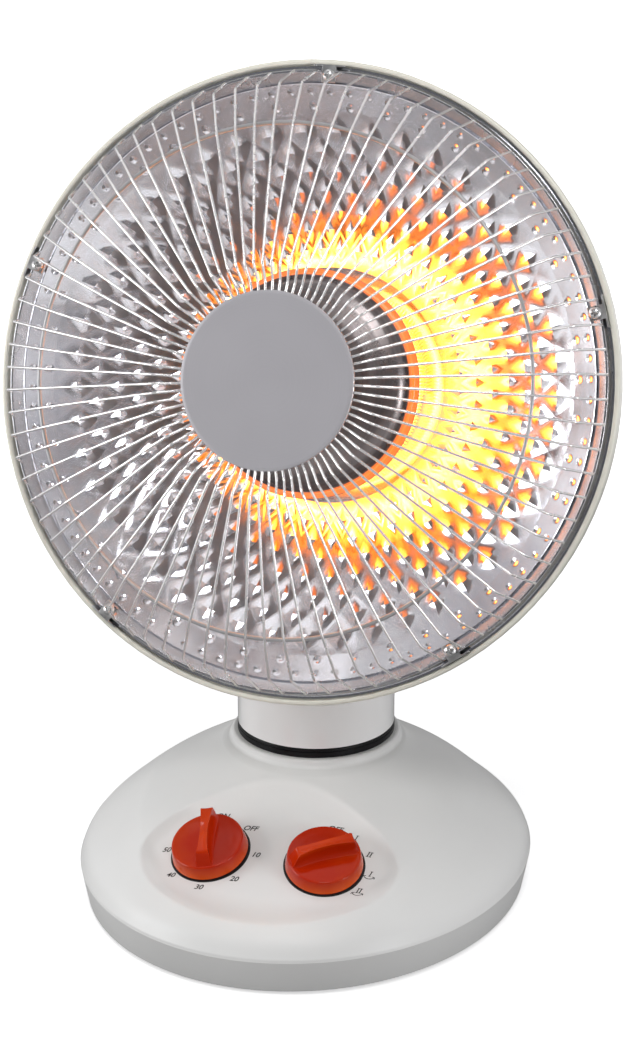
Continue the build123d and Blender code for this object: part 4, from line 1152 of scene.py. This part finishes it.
def facets():
    """Each lattice cell is two three-cornered faces, each from a tip to two corners, slightly hollow."""
    corners = facet_corners()
    count = 2 * facet_count
    row = np.repeat(np.arange(facet_rows), count)
    j = np.tile(np.arange(count), facet_rows)
    m = (j + 1) % count
    even = ((j + row) % 2 == 0)[:, None]
    out_j, out_m, in_j, in_m = corners[row, j], corners[row, m], corners[row + 1, j], corners[row + 1, m]
    tips = np.concatenate([np.where(even, out_m, out_j), np.where(even, in_j, in_m)])[:, None]
    first = np.tile(np.where(even, out_j, out_m), (2, 1))[:, None]
    second = np.tile(np.where(even, in_m, in_j), (2, 1))[:, None]
    fine = facet_steps
    i, k = np.array([(i, k) for i in range(fine + 1) for k in range(fine + 1 - i)]).T
    a, b = i / fine, k / fine
    c = 1 - a - b
    points = tips * c[:, None] + first * a[:, None] + second * b[:, None]
    ring = np.concatenate([row, row + 1])
    lifted = (ring > 0) & (ring < facet_rows)
    inwards = 1 - np.hypot(tips[:, 0, 0], tips[:, 0, 1]) / facet_outer
    hollow = lifted * (facet_hollow + facet_inner_hollow * inwards)
    points[..., 2] -= 4 * c * (1 - c) * hollow[:, None]
    index = {pair: n for n, pair in enumerate(zip(i.tolist(), k.tolist()))}
    pattern = [[index[p, q], index[p + 1, q], index[p, q + 1]] for p in range(fine) for q in range(fine - p)]
    pattern += [[index[p + 1, q], index[p + 1, q + 1], index[p, q + 1]]
                for p in range(fine - 1) for q in range(fine - 1 - p)]
    return points, (np.arange(len(points))[:, None, None] * len(i) + np.array(pattern)).reshape(-1, 3)


def chord_ring(row):
    """Points along the straight edges of one lattice ring."""
    ring = facet_corners()[row]
    ring[:, 2] = dish_height(np.hypot(ring[:, 0], ring[:, 1]))
    s = np.arange(facet_steps)[None, :, None] / facet_steps
    return (ring[:, None] * (1 - s) + np.roll(ring, -1, 0)[:, None] * s).reshape(-1, 3)


def fan(coarse, fine):
    """Faces from a ring of few points to one of four times as many."""
    n = len(coarse)
    i = np.arange(n)
    o = n + 4 * i
    i2, last = (i + 1) % n, n + (4 * i + 4) % (4 * n)
    corners = ((i, o, o + 1), (i, o + 1, o + 2), (i, o + 2, i2), (i2, o + 2, o + 3), (i2, o + 3, last))
    return np.vstack([coarse, fine]), np.vstack([np.stack(t, -1) for t in corners])


def pits(r, angle):
    """Depth of the small round pits on the edge band: one less the square of the distance from the
    nearest middle, in pit radii, to the power one and a half."""
    depth = 0 * r
    for ring, count, first, size, deep in pit_rows:
        step = 2 * pi / count
        off = (angle - radians(first) + step / 2) % step - step / 2
        near = np.hypot(r - ring, ring * off) / size
        depth = depth + deep * np.clip(1 - near ** 2, 0, 1) ** 1.5
    return depth


def reflector():
    """Facets, the pitted band outside them, and one skin from the band round the edge, along the back
    and through the core's hole to the floor in front."""
    outer, inner = chord_ring(0), chord_ring(facet_rows)
    count = 4 * len(outer)
    angle = round_steps(count, 90.0)[None, :]
    r = np.linspace(facet_outer + band_start, dish_edge - dish_edge_turn, 26)[:, None]
    band = polar(r, angle, dish_height(r) - pits(r + 0 * angle, angle + 0 * r))
    front, back = dish_height(dish_floor_radius), dish_height(dish_floor_radius) - dish_back_step
    half_way = (facet_outer + dish_floor_radius) / 2
    flange_back, flange_front = shell_lip_front, shell_lip_front + flange_thick
    skin = np.array([(dish_edge + dish_edge_turn, -dish_edge_drop),
                     (dish_edge + dish_edge_fold, flange_front), (flange_radius, flange_front),
                     (flange_radius, flange_back), (dish_edge - flange_thick, flange_back),
                     (facet_outer, dish_height(facet_outer) - dish_back_step),
                     (half_way, dish_height(half_way) - dish_back_step), (dish_floor_radius, back),
                     (dish_hole_radius, back), (dish_hole_radius, front),
                     (dish_floor_radius - dish_floor_step, front)])
    grid = np.concatenate([band, polar(skin[:, 0, None], angle, skin[:, 1, None])])
    return [facets(), fan(outer, grid[0]), (grid, weave(len(grid), count)), fan(inner, grid[-1])]


add_piece("reflector_dish", reflector(), HEAD, "head", "reflector_polished", ("reflector",), crisp=11)


# Rim band, guard and centre disc

def rim_band():
    """Band pressed into a bright crest near its outer edge, with a flat foot on either side."""
    foot = shell_lip_front + band_thick
    inner, crest, outer = band_inner, band_crest_radius, band_outer
    line = [(inner, foot), (inner + band_thick, foot), (crest, band_crest - band_thick),
            (outer - band_thick, foot), (outer, foot), (crest + band_crest_out, band_crest),
            (crest - band_crest_in, band_crest), (inner, foot + band_thick)]
    return lathe(eased(line, band_rounds, steps=4, closed=True), count=360)


def guard_wire():
    """Straight radial bar, stepped up under the disc and bent down twice towards the rim."""
    line = [(wire_start_radius, 0, wire_root_height), (wire_step_in_radius, 0, wire_root_height),
            (wire_step_out_radius, 0, wire_step_height), (wire_shoulder_radius, 0, wire_shoulder_height),
            (wire_kink_radius, 0, wire_kink_height), (wire_end_radius, 0, wire_end_height)]
    return tube(eased(line, wire_rounds, steps=5), wire_radius, wire_sides)


def root_ring():
    """Flat ring under the inner ends of the wires, which are welded a little way into it."""
    top = wire_root_height - wire_radius * wire_flat_share + weld_sink
    line = [(root_ring_inner, top - root_ring_thick), (root_ring_outer, top - root_ring_thick),
            (root_ring_outer, top), (root_ring_inner, top)]
    return lathe(eased(line, root_ring_round, steps=3, closed=True), count=120)


def wire_hoop():
    """Ring of wire that lies close behind the bars, at their shoulder."""
    run = wire_shoulder_radius - wire_step_out_radius
    slope = atan2(wire_step_height - wire_shoulder_height, run)
    height = wire_shoulder_height - (wire_radius + guard_ring_wire + guard_ring_play) / cos(slope)
    path = polar(wire_shoulder_radius, round_steps(200), height)
    return tube(path, guard_ring_wire, wire_sides, closed=True)


def centre_disc():
    """Pressed disc with a rolled edge: a low flat field inside a softly turned-down border."""
    low, high, r = disc_bottom, disc_bottom + disc_thick, disc_radius
    back = low + disc_back_rise
    line = [(0, back), (r - disc_edge_width, back), (r, low), (r, high - disc_border_drop),
            (r - disc_border_width, high), (0, high)]
    return lathe(eased(line, disc_rounds, steps=6), count=240)


bar_angles = 90.0 + 360.0 / wire_count * (np.arange(wire_count) + 0.5)
add_piece("edge_band", [rim_band()], HEAD, "head", "band_polished", ("rim_band",), crisp=32)
bars = [copies_round(guard_wire(), bar_angles), root_ring()]
add_piece("guard_bars", bars, HEAD, "head", "guard_chrome", ("guard_wires",), crisp=50)
add_piece("guard_hoop", [wire_hoop()], HEAD, "head", "guard_chrome", ("guard_ring",), crisp=60,
          finish="hoop_grey")
add_piece("front_disc", [centre_disc()], HEAD, "head", "disc_silver", ("centre_disc",), crisp=50)
smoothed_copy("rim_clamps", "clamps", "head", "clamp_steel", bevel=0.15)


def screw_head():
    """Domed head with a cross recess: dome height less a trough along each arm of the cross."""
    rho = np.linspace(0, 1, 15)[:, None]
    t = round_steps(64)[None, :]
    radius, height = screw_head_radius, screw_head_height
    x, y = radius * rho * np.cos(t), radius * rho * np.sin(t)
    arm, reach = np.minimum(np.abs(x), np.abs(y)), np.maximum(np.abs(x), np.abs(y))
    beside = np.clip(1 - (arm / (cross_arm_share * radius)) ** 4, 0, 1)
    ahead = np.clip((cross_reach_share * radius - reach) / (cross_end_share * radius), 0, 1)
    dome = height * np.sqrt(1 - screw_dome_share * rho ** 2)
    top = np.stack([x, y, dome - cross_depth_share * height * beside * ahead], -1)
    foot = polar(radius, t, 0.0)
    grid = np.concatenate([top, foot, 0 * foot])
    return grid, weave(len(grid), 64)


def screw_shank():
    """Plain round shank with a bevelled tip, from under the seat up into the head."""
    tip, top = screw_seat - screw_length, screw_seat + screw_sink
    return lathe([(0, tip), (screw_tip_radius, tip), (screw_radius, tip + screw_tip_length),
                  (screw_radius, top), (0, top)], count=24)


screws = [copies_round(shifted(screw_head(), screw_ring, 0, screw_seat), screw_angles),
          copies_round(shifted(screw_shank(), screw_ring), screw_angles)]
add_piece("rim_screw_set", screws, HEAD, "head", "clamp_steel", ("rim_screws",))


# Element: ceramic core with its wound wire under the spun cap

def element_core():
    """Turned ceramic former: a plain barrel on a narrower shoulder that goes back through the reflector."""
    back = core_back - core_shoulder
    line = [(0, back), (core_shoulder_radius, back), (core_shoulder_radius, core_back),
            (core_radius, core_back), (core_radius, core_front), (0, core_front)]
    return lathe(eased(line, core_rounds, steps=4), count=160)


def heating_coil():
    """Wire wound into a fine spring, and that spring wound round the core: a helix on a helix."""
    turn = np.linspace(0, coil_turns, spring_steps)
    a = 2 * pi * turn
    curl = a * spring_curls
    r = coil_radius + spring_radius * np.cos(curl)
    h = coil_start + coil_pitch * turn + spring_radius * np.sin(curl)
    return tube(polar(r, a, h), spring_wire, spring_sides)


def spun_cap():
    """Turned cap: shallow dome, soft shoulder, short wall and a narrow lip turned outwards."""
    top = core_front + cap_rim
    lip_top, lip_foot = core_front + cap_lip_rise, core_front - cap_lip_drop
    inside = cap_radius - cap_thick
    line = [(r, top + rise) for r, rise in cap_crown]
    line += [(cap_radius, top - cap_wall_drop), (cap_radius, lip_top), (cap_lip_radius, lip_top),
             (cap_lip_radius, lip_foot), (inside, lip_foot), (inside, top - cap_inside_drop)]
    line += [(r, top + rise) for r, rise in cap_inside]
    return lathe(eased(line, cap_rounds, steps=8), count=200)


add_piece("ceramic_core", [element_core()], HEAD, "head", "element_ceramic", ("element_core",))
add_piece("wound_wire", [heating_coil()], HEAD, "head", "element_wire", ("heating_coil",), crisp=60)
add_piece("spun_cap", [spun_cap()], HEAD, "head", "cap_dark", ("element_cap",))

# Hardware of the neck joint and the base, as its solids are, with eased edges
for node, name, body, slot, bevel in (
        ("tilt_lug", "lug", "head", "shell_cream", 0.6), ("tilt_bolt", "bolt", "neck", "steel_zinc", 0.4),
        ("tilt_nut", "nut", "neck", "steel_zinc", 0.3),
        ("friction_washers", "washers", "neck", "inner_plastic", 0.15),
        ("inlet_bush", "inlet", "base", "seal_black", 0.4),
        ("base_plate", "floor_plate", "base", "plate_dark", 0.3),
        ("rubber_feet", "feet", "base", "rubber_black", 0.5)):
    smoothed_copy(node, name, body, slot, bevel)


# Stage: pale floor, soft boxes, and a world that the camera sees as white

def floor():
    """Wide plane: near white to the camera, pale away from the heater in metal, and dark to diffuse rays."""
    tree, shader = new_finish("floor_white", roughness=0.9, specular=0.0)
    rays = tree.nodes.new("ShaderNodeLightPath").outputs
    vector = place_vector(tree)
    drift = noise(tree, vector, 0.6, 2)
    seen = ramp(tree, drift, [(0.4, 0.80), (0.6, 0.82)])
    lit = ramp(tree, drift, [(0.4, 0.14), (0.6, 0.16)])
    away = length_of(tree, vector)
    white = calculated(tree, "MULTIPLY", rays["Is Camera Ray"], spread(tree, away, 0.58, 1.0, 0.30, 0.8))
    mirrored = calculated(tree, "MULTIPLY", rays["Is Glossy Ray"], spread(tree, away, 0.12, 0.95, 0.48, 0.95))
    feed(tree, shader, {"Base Color": mixed(tree, rays["Is Camera Ray"], lit, seen),
                        "Emission Color": (1, 1, 1, 1),
                        "Emission Strength": calculated(tree, "ADD", white, mirrored)})
    mesh = bpy.data.meshes.new("floor")
    corners = [(x * floor_half_size, y * floor_half_size, -floor_drop)
               for x, y in ((-1, -1), (1, -1), (1, 1), (-1, 1))]
    mesh.from_pydata(corners, [], [(0, 1, 2, 3)])
    mesh.materials.append(finish_of("floor_white"))
    plane = bpy.data.objects.new("floor", mesh)
    bpy.context.scene.collection.objects.link(plane)


def stand(thing, right, up, back, place):
    """Lamp or camera put in its place in the scene, where it looks the opposite way from its back."""
    matrix = np.eye(4)
    matrix[:3, :4] = np.column_stack([right, up, back, place])
    thing.matrix_world = Matrix(matrix.tolist())
    bpy.context.scene.collection.objects.link(thing)


def soft_box(name, place, target, width, height, power):
    light = bpy.data.lights.new(name, "AREA")
    light.shape = "RECTANGLE"
    light.size, light.size_y = width, height
    light.energy = power
    back = unit(np.array(place) - np.array(target))
    right = unit(np.cross([0, 0, 1.0], back))
    stand(bpy.data.objects.new(name, light), right, np.cross(back, right), back, place)


def studio_world():
    """White to the camera; to other rays a dim room, brighter at both sides and dark in front. Each ramp
    runs over the whole sphere: upwards, from left to right, and from front to back."""
    world = bpy.data.worlds.new("studio")
    bpy.context.scene.world = world
    world.use_nodes = True
    tree = world.node_tree
    axes = axes_of(tree, tree.nodes.new("ShaderNodeTexCoord").outputs["Generated"])
    stops = {"Z": [(0.0, 0.35), (0.50, (0.22, 0.22, 0.225)), (0.60, (0.38, 0.38, 0.39)),
                   (0.78, (0.18, 0.18, 0.19)), (0.92, 0.40)],
             "X": [(0.0, 2.6), (0.25, 1.3), (0.65, 0.75), (0.82, 1.7), (1.0, 3.0)],
             "Y": [(0.0, 0.16), (0.07, 0.38), (0.16, 1.0)]}
    room, across, ahead = (ramp(tree, spread(tree, axes[axis], 0.0, 1.0, -1.0, 1.0), row)
                           for axis, row in stops.items())
    for share in (across, ahead):
        room = mixed(tree, 1.0, room, share, "MULTIPLY")
    rays = tree.nodes.new("ShaderNodeLightPath").outputs
    seen = mixed(tree, rays["Is Camera Ray"], room, (1.0, 1.0, 1.0, 1.0))
    feed(tree, tree.nodes["Background"], {"Color": seen})


def photo_camera():
    """Camera where the photograph was taken from, aimed at a point over the middle of the neck."""
    azimuth, elevation = radians(camera_azimuth), radians(camera_elevation)
    right = np.array([cos(azimuth), sin(azimuth), 0])
    back = np.array([sin(azimuth) * cos(elevation), -cos(azimuth) * cos(elevation), sin(elevation)])
    target = np.array([0, neck_back * MM, camera_aim_height]) + right * camera_aim_side
    data = bpy.data.cameras.new("camera")
    data.sensor_fit = "VERTICAL"
    data.sensor_height = 36.0
    data.lens = 103.05
    data.clip_end = 50.0
    camera = bpy.data.objects.new("camera", data)
    stand(camera, right, np.cross(back, right), back, target + back * camera_distance)
    bpy.context.scene.camera = camera


floor()
soft_box("box_left", (-2.02, -0.95, 0.66), (0, 0, 0.12), width=1.3, height=1.1, power=28.0)
soft_box("box_right", (1.95, -1.0, 0.46), (0, 0, 0.1), width=0.5, height=0.6, power=13.0)
soft_box("box_front", (0.35, -1.3, 1.85), (0, 0, 0.1), width=0.6, height=0.6, power=13.0)
soft_box("box_top", (-0.3, 0.1, 2.2), (0, 0, 0.2), width=1.5, height=1.5, power=5.0)
studio_world()
photo_camera()
bpy.context.scene.view_settings.view_transform = "Standard"
